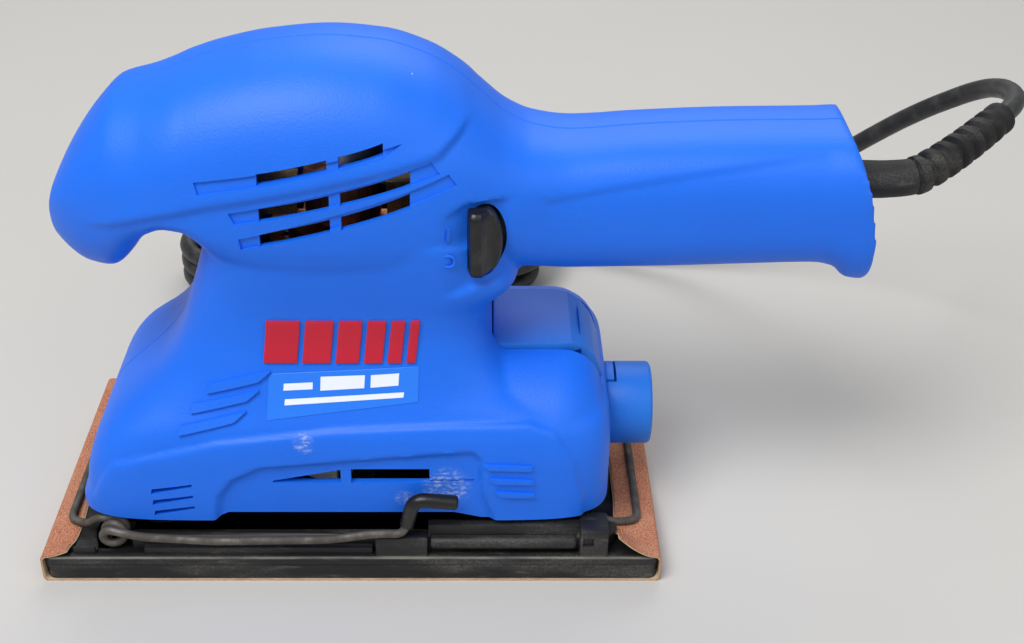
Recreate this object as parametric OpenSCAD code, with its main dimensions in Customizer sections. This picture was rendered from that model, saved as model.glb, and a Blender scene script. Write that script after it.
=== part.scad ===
// One-third-sheet orbital finishing sander: bar handle behind, palm knob in front.
// Millimetres. Origin at the centre of the sanding face; +X towards the rear handle,
// +Y away from the switch side, +Z up.

/* [Sanding pad] */
// Length of the pad, as one-third-sheet paper needs
pad_length = 185; // [180:1:190]
// Width of the pad and of the paper
pad_width = 93; // [90:1:95]
// Thickness of the sponge cushion
cushion_thickness = 5.4; // [4:0.2:6]
// Thickness of the abrasive paper
paper_thickness = 0.6; // [0.4:0.1:0.8]

/* [Drive] */
// Radius of the orbit, the offset of the crank pin
orbit_radius = 1; // [0.8:0.1:1.2]
// Diameter of the motor shaft at its bearings
shaft_diameter = 8; // [7:0.5:9]
// Radial clearance of a running fit
running_clearance = 0.03; // [0.02:0.01:0.08]
// Outer radius of the fan
fan_radius = 33; // [30:1:34]
// Number of fan blades
fan_blades = 14; // [10:1:18]
// Outer radius of the field core
stator_radius = 23.5; // [22:0.5:24]

/* [Housing] */
// Wall thickness of the moulded shells
wall = 2.5; // [2:0.1:3]
// Half-width of the skirt over the pad
skirt_half_width = 41; // [40:0.5:42]
// Half-width of the rear handle
handle_half_width = 21.8; // [20:0.2:23]
// Width of each cooling slot
slot_width = 3.2; // [2:0.2:4]

/* [Dust port] */
// Outer diameter of the dust port
port_outer_diameter = 26; // [24:0.5:28]
// Inner diameter of the dust port
port_inner_diameter = 21; // [19:0.5:23]
// Height of the dust port's centre above the sanding face
port_height = 33; // [31:0.5:35]

/* [Paper clamps] */
// Diameter of the spring wire
wire_diameter = 2.5; // [2:0.1:3]
// Diameter of the grip sleeve on the lever's end
sleeve_diameter = 4.4; // [4:0.1:5]

/* [Cord] */
// Diameter of the power cord
cord_diameter = 6.3; // [5.5:0.1:7]
// Length of the folded hank behind the tool
hank_length = 144; // [136:1:150]

/* [Hidden] */

$fn = 48;
hull_fn = 32;
eps = 0.01;

// Heights of the pad stack
cushion_base = paper_thickness;
cushion_top = cushion_base + cushion_thickness;
plate_top = cushion_top + 3;
rail_top = 14;
hub_top = 19.5;
flap_top = plate_top + paper_thickness;

// The crank pin stands over the middle of the pad, so the motor sits one orbit forward
motor_x = -orbit_radius;
shaft_r = shaft_diameter / 2;
fan_base = 28;
fan_top = 41;
lower_bearing_z = 48;
upper_bearing_z = 122;
bearing_h = 7;
bearing_r = 11;
core_base = 68;
core_h = 26;

// Skirt and neck: [z, front x, rear x, half-width]
neck_profile = [[20, -81, 78, 0], [30, -79.8, 78, 0.3], [40, -76.4, 78, 0], [47, -71.8, 77.5, -0.8],
  [51, -67.6, 76, -2], [54, -64.2, 66, -3.6], [58, -59.8, 52, -5.6], [63, -55, 46, -7.6],
  [70, -50.4, 42.5, -9.8], [76, -47.8, 41.5, -11], [82, -45.8, 42.5, -11.2], [86, -44.4, 46, -10.9],
  [90, -43, 50, -10.4], [98, -40.5, 48, -9.4], [106, -38, 45, -8.6]];
// Head and handle: [x, top z, bottom z, half-width]
head_profile = [[-84, 106, 102, 6], [-82.5, 112.5, 97, 13], [-79, 120.5, 93, 18], [-73, 130, 89.4, 22.5],
  [-67, 137.3, 88.8, 25.5], [-61.5, 142.4, 93.5, 28], [-57, 143.6, 100, 29.3], [-52, 144.8, 105.6, 30.4],
  [-48, 146, 107.4, 31.2], [-42, 148.6, 107, 32.2], [-34, 151.3, 96, 33], [-20, 154.4, 86, 33.8], [-3, 155.9, 84, 34],
  [12, 154.6, 84, 33.6], [24, 150.7, 86, 32.2], [33, 145.2, 88, 30], [40, 138.7, 89, 27.5],
  [46.5, 133, 89.5, 25.2], [54, 129.4, 89.8, 23.4], [64, 128, 89, handle_half_width + 0.2],
  [85, 129.5, 89.2, handle_half_width - 0.2],
  [112, 130.6, 90.2, handle_half_width], [134, 130.8, 91, handle_half_width + 0.2],
  [140, 131, 89.6, handle_half_width + 0.6], [144, 131, 85.8, handle_half_width + 1],
  [148, 131, 85.2, handle_half_width + 1], [150.2, 131, 86.4, handle_half_width + 0.4]];
// Points round each section
section_points = 28;
// The end face of the handle is part of a wide cylinder across it
end_radius = 88;
end_centre_x = 61.8;
end_centre_z = 93;

// Screw columns: [x, z, seat of the head from the parting plane]
screw_places = [[-66, 118, 10], [-33.5, 80, 12], [33.5, 80, 12], [-30, 138, 14], [66, 98, 8],
  [132, 97, 8], [-64, 40, 24], [59, 55, 14]];

// Cooling slots of the head: [front x, front z, rear x, rear z]
head_slots = [[-20, 128.2, 14, 136.2], [-20.2, 118.4, 20.5, 128], [-20.5, 111.4, 20.3, 122.6]];

// Paper clamps; the rear one is the front one turned half round
coil_x = -71;
coil_z = 14.5;
coil_r = 3;
coil_y = -37.4;
coil_pitch = 3.1;
lever_y = -(pad_width / 2 - 1.3);
wire_r = wire_diameter / 2;
ledge_top = 16;
bail_x = -87;
bail_z = flap_top + wire_r + 0.1;

// Rubber legs that carry the housing on the platen
leg_x = 58;
leg_y = 27;
leg_top = 30.5;

// Cord clamp in the handle
clamp_x = 123.5;

// Switch rocker
rocker_pivot = [40, -24.6, 107];
rocker_turn = 7;

// Power cord: from the strain relief round to the hank, lying on the bench
cord_r = cord_diameter / 2;
cord_route = [[148, 0, 112], [156, 0, 112], [164, 1, 112.5], [171, 5, 114], [179, 11, 116], [187, 18, 118],
  [195, 26, 119.5], [202, 36, 119.5], [206, 48, 117.5], [206, 60, 114], [203, 70, 109], [197, 80, 101],
  [189, 90, 91], [180, 100, 79], [170, 109, 66], [159, 117, 52], [147, 124, 38], [134, 130, 25],
  [120, 136, 14], [105, 140, 7.5], [90, 144, 4.4], [76, 148, 3.75], [62, 150.6, 3.75], [50, 152.4, 3.75],
  [40, 152.85, 3.75]];
// The relief's ribbed tail follows the route up to this point
relief_points = 6;
hank_base = 1;
hank_h = 18.4;
hank_w = 44;
hank_x = -10;
hank_y = 134;
lead_route = [[60, 146, 15.8], [40, 159.2, 13.4], [26, 161.6, 9], [12, 164, 5.2], [-2, 166, 3.8],
  [-14, 167.6, 4.6], [-22, 168.6, 6.4], [-28, 169, 8]];

// ---------------------------------------------------------------- shared shapes

function superellipse(rx, ru, rd, power, count) = [
  for (i = [0:count - 1])
    let (a = 360 * i / count, c = cos(a), s = sin(a))
      [sign(c) * rx * pow(abs(c), 2 / power),
       sign(s) * (s > 0 ? ru : rd) * pow(abs(s), 2 / power)]];

// One slice of the head and handle, drawn in the plane across X
module head_slice(p, inset) {
  x = p[0];
  middle = max(p[2] + 7, min(x > 50 ? 109 : 113, p[1] - 4));
  power = x > 50 ? 3 : (x < -50 ? 2.3 : 2.5);
  half = max(1.5, p[3] - inset);
  up = max(1.5, p[1] - inset - middle);
  down = max(1.5, middle - p[2] - inset);
  translate([x, 0, middle])
    rotate([90, 0, 90])
      linear_extrude(eps)
        polygon(superellipse(half, up, down, power, section_points));
}

// One slice of the skirt and neck, drawn in the plane across Z
module neck_slice(p, inset) {
  mid = (p[1] + p[2]) / 2;
  translate([mid, 0, p[0]])
    linear_extrude(eps)
      polygon(superellipse((p[2] - p[1]) / 2 - inset, skirt_half_width + p[3] - inset,
        skirt_half_width + p[3] - inset, p[0] < 56 ? 6 : 5, section_points));
}

module head_solid(inset) {
  intersection() {
    for (i = [0:len(head_profile) - 2])
      hull() {
        head_slice(head_profile[i], inset);
        head_slice(head_profile[i + 1], inset);
      }
    // the end face of the handle curves forward at the top
    union() {
      translate([end_centre_x, 60, end_centre_z])
        rotate([90, 0, 0])
          cylinder(r = end_radius - inset, h = 120, $fn = 160);
      translate([-84 + inset, -60, 0])
        cube([84 - inset + end_centre_x, 120, 200]);
    }
  }
}

module neck_solid(inset) {
  for (i = [0:len(neck_profile) - 2])
    hull() {
      neck_slice(neck_profile[i], inset);
      neck_slice(neck_profile[i + 1], inset);
    }
}

// Raised dust duct behind the neck
module duct_solid(inset) {
  hull() {
    translate([20, -14 + inset / 2, 60])
      cube([46, 28 - inset, 6.8 - inset]);
    translate([20, -36 + inset, 50])
      cube([54 - inset, 72 - 2 * inset, 3]);
    translate([20, -16 + inset, 50])
      cube([57.5 - inset, 32 - 2 * inset, 10 - inset]);
  }
}

module shell_solid(inset) {
  head_solid(inset);
  neck_solid(inset);
  duct_solid(inset);
}

// A slanted cooling slot cut in one side
module side_slot(s, side) {
  hull()
    for (e = [0, 1])
      translate([s[2 * e], side > 0 ? 20 : -50, s[2 * e + 1]])
        rotate([-90, 0, 0])
          cylinder(d = slot_width, h = 30, $fn = 12);
}

module side_window(x0, x1, z0, z1, side) {
  translate([x0, side > 0 ? 30 : -50, z0])
    cube([x1 - x0, 20, z1 - z0]);
}

module side_openings(side) {
  for (s = head_slots)
    side_slot(s, side);
  side_window(-23, -2, 33, 37.5, side);
  side_window(1, 24, 33, 38.2, side);
  for (i = [0:2]) {
    side_slot([-57, 22.5 + 3.8 * i, -48, 23.6 + 3.8 * i], side);
    side_slot([40 + 2 * i, 40.5 - 4.8 * i, 53, 40 - 4.4 * i], side);
  }
}

module screw_column(p, side) {
  translate([p[0], side > 0 ? 0 : -60, p[1]])
    rotate([-90, 0, 0])
      cylinder(r = side > 0 ? 5.6 : 4.4, h = 60, $fn = 24);
}

// Shelves, bosses and cups inside the shells that carry the motor and the cord
module inner_ribs() {
  difference() {
    union() {
      for (z = [42.6, 64, 97.5])
        translate([-100, -60, z])
          cube([z < 60 ? 160 : 132, 120, 2]);
      translate([-100, -60, upper_bearing_z + 1])
        cube([132, 120, 4]);
      for (x = [-46, 31.4])
        translate([x, -60, 100])
          cube([2, 120, 24]);
    }
    translate([motor_x, 0, 40])
      cylinder(r = fan_radius + 2, h = 6);
    translate([motor_x, 0, 60])
      cylinder(r = stator_radius + 0.2, h = 48);
    translate([motor_x, 0, 100])
      cylinder(r = bearing_r + 0.1, h = 40);
  }
  for (x = [-leg_x, leg_x], y = [-leg_y, leg_y])
    translate([motor_x + x, y, leg_top])
      cylinder(r = 8, h = 14);
  translate([clamp_x, -11, 90])
    cube([8, 22, 17.9]);
  difference() {
    translate([140, -60, 80])
      cube([3, 120, 60]);
    translate([130, 0, 112])
      rotate([0, 90, 0])
        cylinder(r = 5.7, h = 30);
  }
}

module housing_half(side) {
  difference() {
    intersection() {
      shell_solid(0);
      translate([-200, side > 0 ? 0.03 : -100.03, 0])
        cube([500, 100, 200]);
    }
    difference() {
      shell_solid(wall);
      inner_ribs();
      for (p = screw_places)
        screw_column(p, side);
    }
    // open underside
    translate([-78.3, -skirt_half_width + wall, 15])
      cube([153.8, 2 * (skirt_half_width - wall), 12]);
    for (p = screw_places) {
      translate([p[0], -14, p[1]])
        rotate([-90, 0, 0])
          cylinder(r = side > 0 ? 1.9 : 1.6, h = 60, $fn = 16);
      translate([p[0], p[2], p[1]])
        rotate([-90, 0, 0])
          cylinder(r = 3.9, h = 60, $fn = 24);
    }
    side_openings(side);
    // way out to the dust port
    translate([70, 0, port_height])
      rotate([0, 90, 0])
        cylinder(d = port_outer_diameter + 0.2, h = 20);
    for (s = [-1, 1])
      translate([clamp_x + 4, s * 7.6, 100])
        cylinder(r = 1.6, h = 12, $fn = 16);
    // cord outlet at the end of the handle
    translate([138, 0, 112])
      rotate([0, 90, 0])
        cylinder(r = 5.7, h = 20, $fn = 32);
    // seat of the separate duct cover
    translate([43, -16, 64])
      cube([60, 32, 10]);
    translate([70, -16, 50])
      cube([10, 32, 24]);
    if (side < 0) {
      translate([34.2, -50, 96])
        cube([11.6, 30, 22]);
      neck_patch([-24, 66.5], [48, 20], 0.9, 1);
      neck_patch([-24, 51.5], [46, 14], 0.5, 1);
    }
  }
}

// A patch of the neck's skin on the switch side, from a depth inside it to proud of it
module neck_patch(corner, size, depth, proud) {
  intersection() {
    difference() {
      neck_solid(-proud);
      neck_solid(depth);
    }
    translate([corner[0], -60, corner[1]])
      cube([size[0], 60, size[1]]);
  }
}

module housing_left() {
  color("dodgerblue")
    housing_half(-1);
}

module housing_right() {
  color("royalblue")
    housing_half(1);
}

module dust_duct_cover() {
  color("steelblue")
    difference() {
      hull() {
        translate([43.4, -15.6, 64.2])
          cube([26, 31.2, 2.4]);
        translate([70.2, -15.6, 52])
          cube([7.2, 31.2, 8]);
      }
      translate([40, -13.4, 40])
        cube([29, 26.8, 24.1]);
      translate([40, -50, 40])
        cube([30, 100, 24.1]);
    }
}

module dust_port() {
  color("steelblue")
    translate([72, 0, port_height])
      rotate([0, 90, 0])
        difference() {
          union() {
            cylinder(d = port_outer_diameter - 0.4, h = 8);
            translate([0, 0, 6])
              cylinder(d = port_outer_diameter, h = 14);
          }
          translate([0, 0, -1])
            cylinder(d = port_inner_diameter, h = 22);
          // keyed notch for a dust bag
          translate([-13.6, -3, 12])
            cube([4, 5, 9]);
        }
}

module housing_screws() {
  color("silver")
    for (p = screw_places)
      translate([p[0], -10, p[1]])
        rotate([-90, 0, 0]) {
          cylinder(r = 1.5, h = 10 + p[2] + 0.1);
          translate([0, 0, 10 + p[2] + 0.05])
            difference() {
              cylinder(r = 3.4, h = 2.4);
              translate([0, 0, 2])
                cube([4.2, 0.9, 2], center = true);
              translate([0, 0, 2])
                cube([0.9, 4.2, 2], center = true);
            }
        }
}

// ---------------------------------------------------------------- motor, fixed parts

module bearing_plate() {
  color("lightgray")
    translate([motor_x, 0, 44.7])
      difference() {
        union() {
          cylinder(r = 36, h = 2.6);
          cylinder(r = 14, h = 10.5);
          for (a = [0:60:300])
            rotate([0, 0, a])
              translate([13, -1, 2])
                cube([21, 2, 3.5]);
        }
        translate([0, 0, lower_bearing_z - 44.7])
          cylinder(r = bearing_r, h = 20);
        translate([0, 0, -1])
          cylinder(r = 9, h = 20);
      }
}

module ball_bearing(bore_r) {
  difference() {
    cylinder(r = bearing_r, h = bearing_h);
    translate([0, 0, -1])
      cylinder(r = bore_r + running_clearance, h = bearing_h + 2);
    for (z = [-1, bearing_h - 0.5])
      translate([0, 0, z])
        difference() {
          cylinder(r = 9, h = 1.5);
          translate([0, 0, -1])
            cylinder(r = 6, h = 4);
        }
  }
}

module lower_bearing() {
  color("gainsboro")
    translate([motor_x, 0, lower_bearing_z])
      ball_bearing(shaft_r);
}

module upper_bearing() {
  color("gainsboro")
    translate([motor_x, 0, upper_bearing_z])
      ball_bearing(shaft_r - 0.5);
}

module stator_core() {
  color("dimgray")
    translate([motor_x, 0, core_base])
      difference() {
        cylinder(r = stator_radius, h = core_h);
        translate([0, 0, -1])
          cylinder(r = 18.5, h = core_h + 2);
        for (s = [-1, 1])
          translate([0, s * 18, -1])
            linear_extrude(core_h + 2)
              square([20, 7], center = true);
      }
}

module field_coils() {
  color("peru")
    for (s = [-1, 1], z = [core_base - 3.4, core_base + core_h + 0.2])
      translate([motor_x, 0, z])
        intersection() {
          difference() {
            cylinder(r = 22.5, h = 3.2);
            translate([0, 0, -1])
              cylinder(r = 18.4, h = 6);
          }
          translate([s * 20, 0, 0])
            cube([24, 34, 10], center = true);
        }
}

module brush_holders() {
  color("goldenrod")
    for (s = [-1, 1])
      translate([motor_x + s * 22, 0, 108])
        difference() {
          cube([18, 8.4, 10.4], center = true);
          cube([20, 6.3, 8.3], center = true);
        }
}

module carbon_brushes() {
  color("dimgray")
    for (s = [-1, 1])
      translate([motor_x + s * 17.3, 0, 108])
        cube([12, 6.1, 8.1], center = true);
}

// A coil spring of round wire along X
module coil_spring(r, wire, length, turns) {
  steps = 10 * turns;
  swept_tube([for (k = [0:steps]) [length * k / steps, r * cos(36 * k), r * sin(36 * k)]],
    wire / 2, wire / 2, 6);
}

module brush_springs() {
  color("silver")
    for (s = [-1, 1])
      translate([motor_x + s * 23.7, 0, 108])
        rotate([0, 0, s > 0 ? 0 : 180])
          coil_spring(2.2, 0.7, 6.4, 3);
}

module switch_body() {
  color("dimgray")
    difference() {
      translate([33.9, -19.8, 99.5])
        cube([12.4, 10.4, 19]);
      translate([rocker_pivot[0], rocker_pivot[1], 90])
        cylinder(r = 6.4, h = 40);
    }
}

module noise_capacitor() {
  color("khaki")
    translate([78, 0, 118])
      rotate([0, 90, 0])
        cylinder(r = 6, h = 20);
}

module lead_wires() {
  color("firebrick") {
    bent_wire([[47.6, -12, 100], [60, -10, 104], [90, -5, 106], [116, -1.6, 111.2]], 6, 1.1);
    bent_wire([[47.6, -12, 114], [62, -8, 118], [76.7, -2, 118]], 5, 1.1);
    bent_wire([[99.3, 2, 118], [108, 2, 115], [116, 1.8, 112.8]], 4, 1.1);
  }
}

module cord_inner_end() {
  color("black")
    translate([118, 0, 112])
      rotate([0, 90, 0])
        cylinder(r = cord_r, h = 30);
}

module cord_clamp() {
  color("dimgray")
    difference() {
      translate([clamp_x, -11, 108])
        cube([8, 22, 8.2]);
      translate([120, 0, 112])
        rotate([0, 90, 0])
          cylinder(r = cord_r, h = 20);
      for (s = [-1, 1])
        translate([clamp_x + 4, s * 7.6, 100])
          cylinder(r = 1.6, h = 30);
    }
}

module cord_clamp_screws() {
  color("silver")
    for (s = [-1, 1])
      translate([clamp_x + 4, s * 7.6, 102]) {
        cylinder(r = 1.5, h = 14.3);
        translate([0, 0, 14.25])
          cylinder(r = 2.8, h = 2);
      }
}

module orbit_legs() {
  color("dimgray")
    for (x = [-leg_x, leg_x], y = [-leg_y, leg_y])
      translate([motor_x + x, y, 12.5]) {
        cylinder(r = 5.5, h = leg_top - 12.5);
        translate([0, 0, 9])
          cylinder(r = 7, h = 3);
      }
}

module front_emblem() {
  color("crimson")
    neck_patch([-23.4, 67.1], [46.8, 18.8], 0.85, 0.7);
}

module label_plate() {
  color("cornflowerblue")
    neck_patch([-23.5, 52], [45, 13], 0.45, 0.1);
}

// ---------------------------------------------------------------- motor, turning parts

module motor_shaft() {
  color("silver")
    translate([motor_x, 0, 27.5]) {
      cylinder(r = shaft_r, h = 91);
      cylinder(r = shaft_r - 0.5, h = 104);
    }
}

module armature_core() {
  color("slategray")
    translate([motor_x, 0, core_base])
      difference() {
        cylinder(r = 18, h = core_h);
        translate([0, 0, -1])
          cylinder(r = shaft_r, h = core_h + 2);
        for (a = [0:30:330])
          rotate([0, 0, a])
            translate([15.5, -1, -1])
              cube([3, 2, core_h + 2]);
      }
}

module armature_windings() {
  color("peru")
    for (z = [core_base - 7, core_base + core_h])
      translate([motor_x, 0, z])
        rotate_extrude()
          translate([shaft_r, 0])
            square([12.4, 7]);
}

module commutator() {
  color("chocolate")
    translate([motor_x, 0, 102])
      difference() {
        cylinder(r = 11, h = 13);
        translate([0, 0, -1])
          cylinder(r = shaft_r, h = 15);
        for (a = [0:15:345])
          rotate([0, 0, a])
            translate([10.4, -0.25, -1])
              cube([1, 0.5, 15]);
      }
}

module cooling_fan() {
  color("lightgray")
    translate([motor_x, 0, fan_base]) {
      difference() {
        union() {
          cylinder(r = 9, h = fan_top - fan_base);
          translate([0, 0, fan_top - fan_base - 1.6])
            cylinder(r = fan_radius, h = 1.6);
          for (i = [0:fan_blades - 1])
            rotate([0, 0, 360 * i / fan_blades])
              translate([18, 0, 1])
                rotate([0, 0, -28])
                  translate([-4, -0.7, 0])
                    cube([18, 1.4, fan_top - fan_base - 2]);
        }
        translate([0, 0, -1])
          cylinder(r = shaft_r, h = 30);
      }
    }
}

module counterweight() {
  color("darkgoldenrod") {
    translate([motor_x, 0, 21])
      difference() {
        union() {
          cylinder(r = 9, h = 6.4);
          intersection() {
            cylinder(r = 26, h = 5);
            translate([-26, -30, 0])
              cube([22, 60, 5]);
          }
          translate([-9, -7, 0])
            cube([9, 14, 5]);
        }
      }
    translate([0, 0, 12.2])
      cylinder(r = shaft_r, h = 9);
  }
}

module crank_pin_screw() {
  color("silver")
    translate([0, 0, 9.4])
      difference() {
        cylinder(r = 5.6, h = 2.5);
        translate([0, 0, -1])
          cylinder(r = 2.2, h = 2.6, $fn = 6);
      }
}

// ---------------------------------------------------------------- pad

module rounded_plate(length, width, height, r) {
  linear_extrude(height) {
    square([length - 2 * r, width], center = true);
    square([length, width - 2 * r], center = true);
    for (x = [-1, 1], y = [-1, 1])
      translate([x * (length / 2 - r), y * (width / 2 - r)])
        circle(r = r);
  }
}

// What repeats half a turn round on the platen: coil post, latch ledge, bail ear
module clamp_seats() {
  translate([coil_x, -31, plate_top - 1])
    cylinder(r = 4, h = 9.4);
  translate([7.5, -46, plate_top - 1])
    cube([15.5, 4.5, ledge_top - plate_top + 1]);
  translate([-77, 36.5, plate_top - 1])
    cube([8.5, 9.5, 18.6 - plate_top + 1]);
}

module platen() {
  color("dimgray")
    difference() {
      union() {
        translate([0, 0, cushion_top])
          rounded_plate(pad_length, pad_width, plate_top - cushion_top, 3);
        translate([0, 0, plate_top - 0.5])
          difference() {
            rounded_plate(160, 85, rail_top - plate_top + 0.5, 6);
            translate([0, 0, -1])
              rounded_plate(152, 77, 20, 4);
          }
        translate([0, 0, cushion_top])
          cylinder(r = 15, h = hub_top - cushion_top);
        for (a = [0, 90])
          rotate([0, 0, a])
            translate([a == 0 ? -77 : -40, -1.5, plate_top - 0.5])
              cube([a == 0 ? 154 : 80, 3, 5]);
        for (x = [-leg_x, leg_x], y = [-leg_y, leg_y])
          translate([x, y, plate_top - 0.5])
            cylinder(r = 9.6, h = 6);
        clamp_seats();
        rotate([0, 0, 180])
          clamp_seats();
      }
      translate([0, 0, 12])
        cylinder(r = bearing_r, h = 10);
      translate([0, 0, plate_top])
        cylinder(r = 8, h = 10);
      for (x = [-leg_x, leg_x], y = [-leg_y, leg_y])
        translate([x, y, plate_top])
          cylinder(r = 7.4, h = 20);
      // the wire's coil and its pivot stub need room in the rail
      for (a = [0, 180])
        rotate([0, 0, a]) {
          translate([coil_x, 30, coil_z])
            rotate([-90, 0, 0])
              cylinder(r = wire_r + 0.06, h = 20);
          translate([coil_x - 5.4, -48, plate_top + 0.3])
            cube([10.8, 12.4, 20]);
          translate([coil_x - 16, -44, plate_top + 0.3])
            cube([14, 88, 20]);
        }
    }
}

module pad_cushion() {
  color("black")
    translate([0, 0, cushion_base])
      rounded_plate(pad_length, pad_width, cushion_thickness, 3);
}

module abrasive_paper() {
  color("peru") {
    translate([0, 0, paper_thickness / 2])
      cube([pad_length + 2 * paper_thickness, pad_width, paper_thickness], center = true);
    for (a = [0, 180])
      rotate([0, 0, a]) {
        translate([pad_length / 2, -pad_width / 2, 0])
          cube([paper_thickness, pad_width, flap_top]);
        translate([pad_length / 2 - 9.8, -pad_width / 2, plate_top])
          cube([10, pad_width, paper_thickness]);
      }
  }
}

module eccentric_bearing() {
  color("gainsboro")
    translate([0, 0, 12])
      ball_bearing(shaft_r);
}

module cushion_screws() {
  color("silver")
    for (x = [-36, 36], y = [-30, 30])
      translate([x, y, plate_top])
        difference() {
          cylinder(r = 3.2, h = 1.8);
          translate([0, 0, 1.6])
            cube([4, 0.9, 2], center = true);
        }
}

// ---------------------------------------------------------------- paper clamps

// Points of the spring coil between two angles; it moves outward as it turns
function coil_points(a_start, a_end, steps) = [
  for (k = [0:steps])
    let (a = a_start + (a_end - a_start) * k / steps)
      [coil_x + coil_r * cos(a), coil_y - coil_pitch * (120 - a) / 360, coil_z + coil_r * sin(a)]];

// Pivot stub, far arm, cross bar, near arm and the start of the spring coil
module bail() {
  swept_tube(concat(
    rounded([[coil_x, 44.6, coil_z], [coil_x, 33.6, coil_z], [bail_x + 6, 33.6, bail_z + 1],
      [bail_x, 31, bail_z], [bail_x, -31, bail_z], [bail_x + 6, -34, bail_z + 0.6],
      [coil_x - 6, -37.2, coil_z + 2.2]], 2.6, 3),
    coil_points(120, -96, 9)), wire_r, wire_r, 8);
}

module front_bail() {
  color("slategray")
    bail();
}

// The turns of the coil, and the long arm that rests on the ledge and turns up into the grip
module lever() {
  coil_end = coil_points(-122, -630, 24);
  swept_tube(concat(coil_end,
    rounded([coil_end[24] + [0.6, 0, 0], [-62, lever_y, coil_z + 1.6], [-40, lever_y, coil_z],
      [-6, lever_y, coil_z + 0.6], [7, lever_y, ledge_top + wire_r + 0.1],
      [16.2, lever_y, ledge_top + wire_r + 0.1], [17, lever_y, ledge_top + 5]], 2.2, 3)),
    wire_r, wire_r, 8);
}

module lever_sleeve() {
  bent_wire([[17.1, lever_y, ledge_top + 5.1], [19.6, lever_y, 30.6], [32.4, lever_y, 29.4]], 3.4,
    sleeve_diameter / 2);
}

module front_lever() {
  color("slategray")
    lever();
}

module front_lever_sleeve() {
  color("black")
    lever_sleeve();
}

module rear_bail() {
  color("slategray")
    rotate([0, 0, 180])
      bail();
}

module rear_lever() {
  color("slategray")
    rotate([0, 0, 180])
      lever();
}

module rear_lever_sleeve() {
  color("black")
    rotate([0, 0, 180])
      lever_sleeve();
}

// ---------------------------------------------------------------- switch rocker

module switch_rocker() {
  color("black")
    translate(rocker_pivot)
      rotate([0, 0, rocker_turn])
        difference() {
          union() {
            translate([0, 0, -10])
              cylinder(r = 5.2, h = 20);
            translate([0, 0, -10])
              linear_extrude(20)
                polygon([[-4.9, 0], [4.9, 0], [4.9, -4.4], [0.5, -5.2], [-4.9, -7]]);
          }
          translate([-6, 2.4, -11])
            cube([12, 6, 22]);
        }
}

// ---------------------------------------------------------------- cord

function unit(v) = v / norm(v);

function tangent(route, i) = unit(route[min(i + 1, len(route) - 1)] - route[max(i - 1, 0)]);

// Side directions carried along a route without twist
function carried(route, i, side) =
  i >= len(route) ? [] :
  let (t = tangent(route, i), s = unit(side - (side * t) * t))
    concat([s], carried(route, i + 1, s));

// A round tube swept along a list of points, closed at both ends
module swept_tube(route, r_start, r_end, sides) {
  last = len(route) - 1;
  t0 = tangent(route, 0);
  across = carried(route, 0, unit(cross(t0, abs(t0[2]) < 0.9 ? [0, 0, 1] : [1, 0, 0])));
  rings = [
    for (i = [0:last])
      let (up = cross(across[i], tangent(route, i)), r = r_start + (r_end - r_start) * i / last)
        for (k = [0:sides - 1])
          route[i] + r * (cos(360 * k / sides) * across[i] + sin(360 * k / sides) * up)];
  walls = [
    for (i = [0:last - 1], k = [0:sides - 1])
      [i * sides + k, i * sides + (k + 1) % sides,
       (i + 1) * sides + (k + 1) % sides, (i + 1) * sides + k]];
  first_cap = [for (k = [sides - 1:-1:0]) k];
  last_cap = [for (k = [0:sides - 1]) last * sides + k];
  polyhedron(points = rings, faces = concat(walls, [first_cap, last_cap]), convexity = 6);
}

// A route with its inner corners rounded by curves that start at a distance from each
function rounded(p, reach, steps) = concat([p[0]], [
  for (i = [1:len(p) - 2])
    let (a = p[i] + reach * unit(p[i - 1] - p[i]), b = p[i] + reach * unit(p[i + 1] - p[i]))
      for (k = [0:steps])
        let (u = k / steps)
          (1 - u) * (1 - u) * a + 2 * u * (1 - u) * p[i] + u * u * b], [p[len(p) - 1]]);

module bent_wire(points, reach, r) {
  swept_tube(rounded(points, reach, 3), r, r, 8);
}

module strain_relief() {
  color("black")
    difference() {
      union() {
        translate([138.6, 0, 112])
          rotate([0, 90, 0])
            cylinder(r = 7.2, h = 1.3);
        translate([139, 0, 112])
          rotate([0, 90, 0])
            cylinder(r = 5.6, h = 23);
      }
      translate([130, 0, 112])
        rotate([0, 90, 0])
          cylinder(r = cord_r, h = 60);
    }
  color("black")
    swept_tube([for (i = [2:relief_points]) cord_route[i]], 4.9, 4.1, 12);
}

module power_cord() {
  color("black")
    swept_tube(cord_route, cord_r, cord_r, 10);
}

module hank_outline(grow) {
  straight = (hank_length - hank_w) / 2;
  translate([hank_x, hank_y])
    hull()
      for (s = [-1, 1])
        translate([s * straight, 0])
          circle(r = hank_w / 2 + grow, $fn = 32);
}

module cord_hank() {
  color("black")
    translate([0, 0, hank_base])
      linear_extrude(hank_h)
        hank_outline(0);
}

module cord_tie() {
  color("dimgray")
    translate([hank_x - 4, hank_y, 0])
      rotate([90, 0, 90])
        linear_extrude(8)
          difference() {
            translate([-hank_w / 2 - 1, 0])
              square([hank_w + 2, hank_h + hank_base + 1]);
            translate([-hank_w / 2, hank_base])
              square([hank_w, hank_h]);
          }
}

module plug_lead() {
  color("black")
    swept_tube(lead_route, cord_r, cord_r, 10);
}

module plug_body() {
  color("black")
    hull() {
      translate([-28, 169, 8])
        rotate([0, -90, 0])
          cylinder(r = 4.4, h = 4, $fn = hull_fn);
      translate([-60, 159.5, 0])
        cube([18, 19, 16]);
    }
}

module plug_blades() {
  color("silver")
    for (s = [-1, 1])
      translate([-76.9, 169 + s * 6.35 - 0.75, 4.8])
        difference() {
          cube([16.9, 1.5, 6.4]);
          translate([3.5, -1, 3.2])
            rotate([-90, 0, 0])
              cylinder(r = 1.6, h = 4);
        }
}

// ---------------------------------------------------------------- nodes

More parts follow.
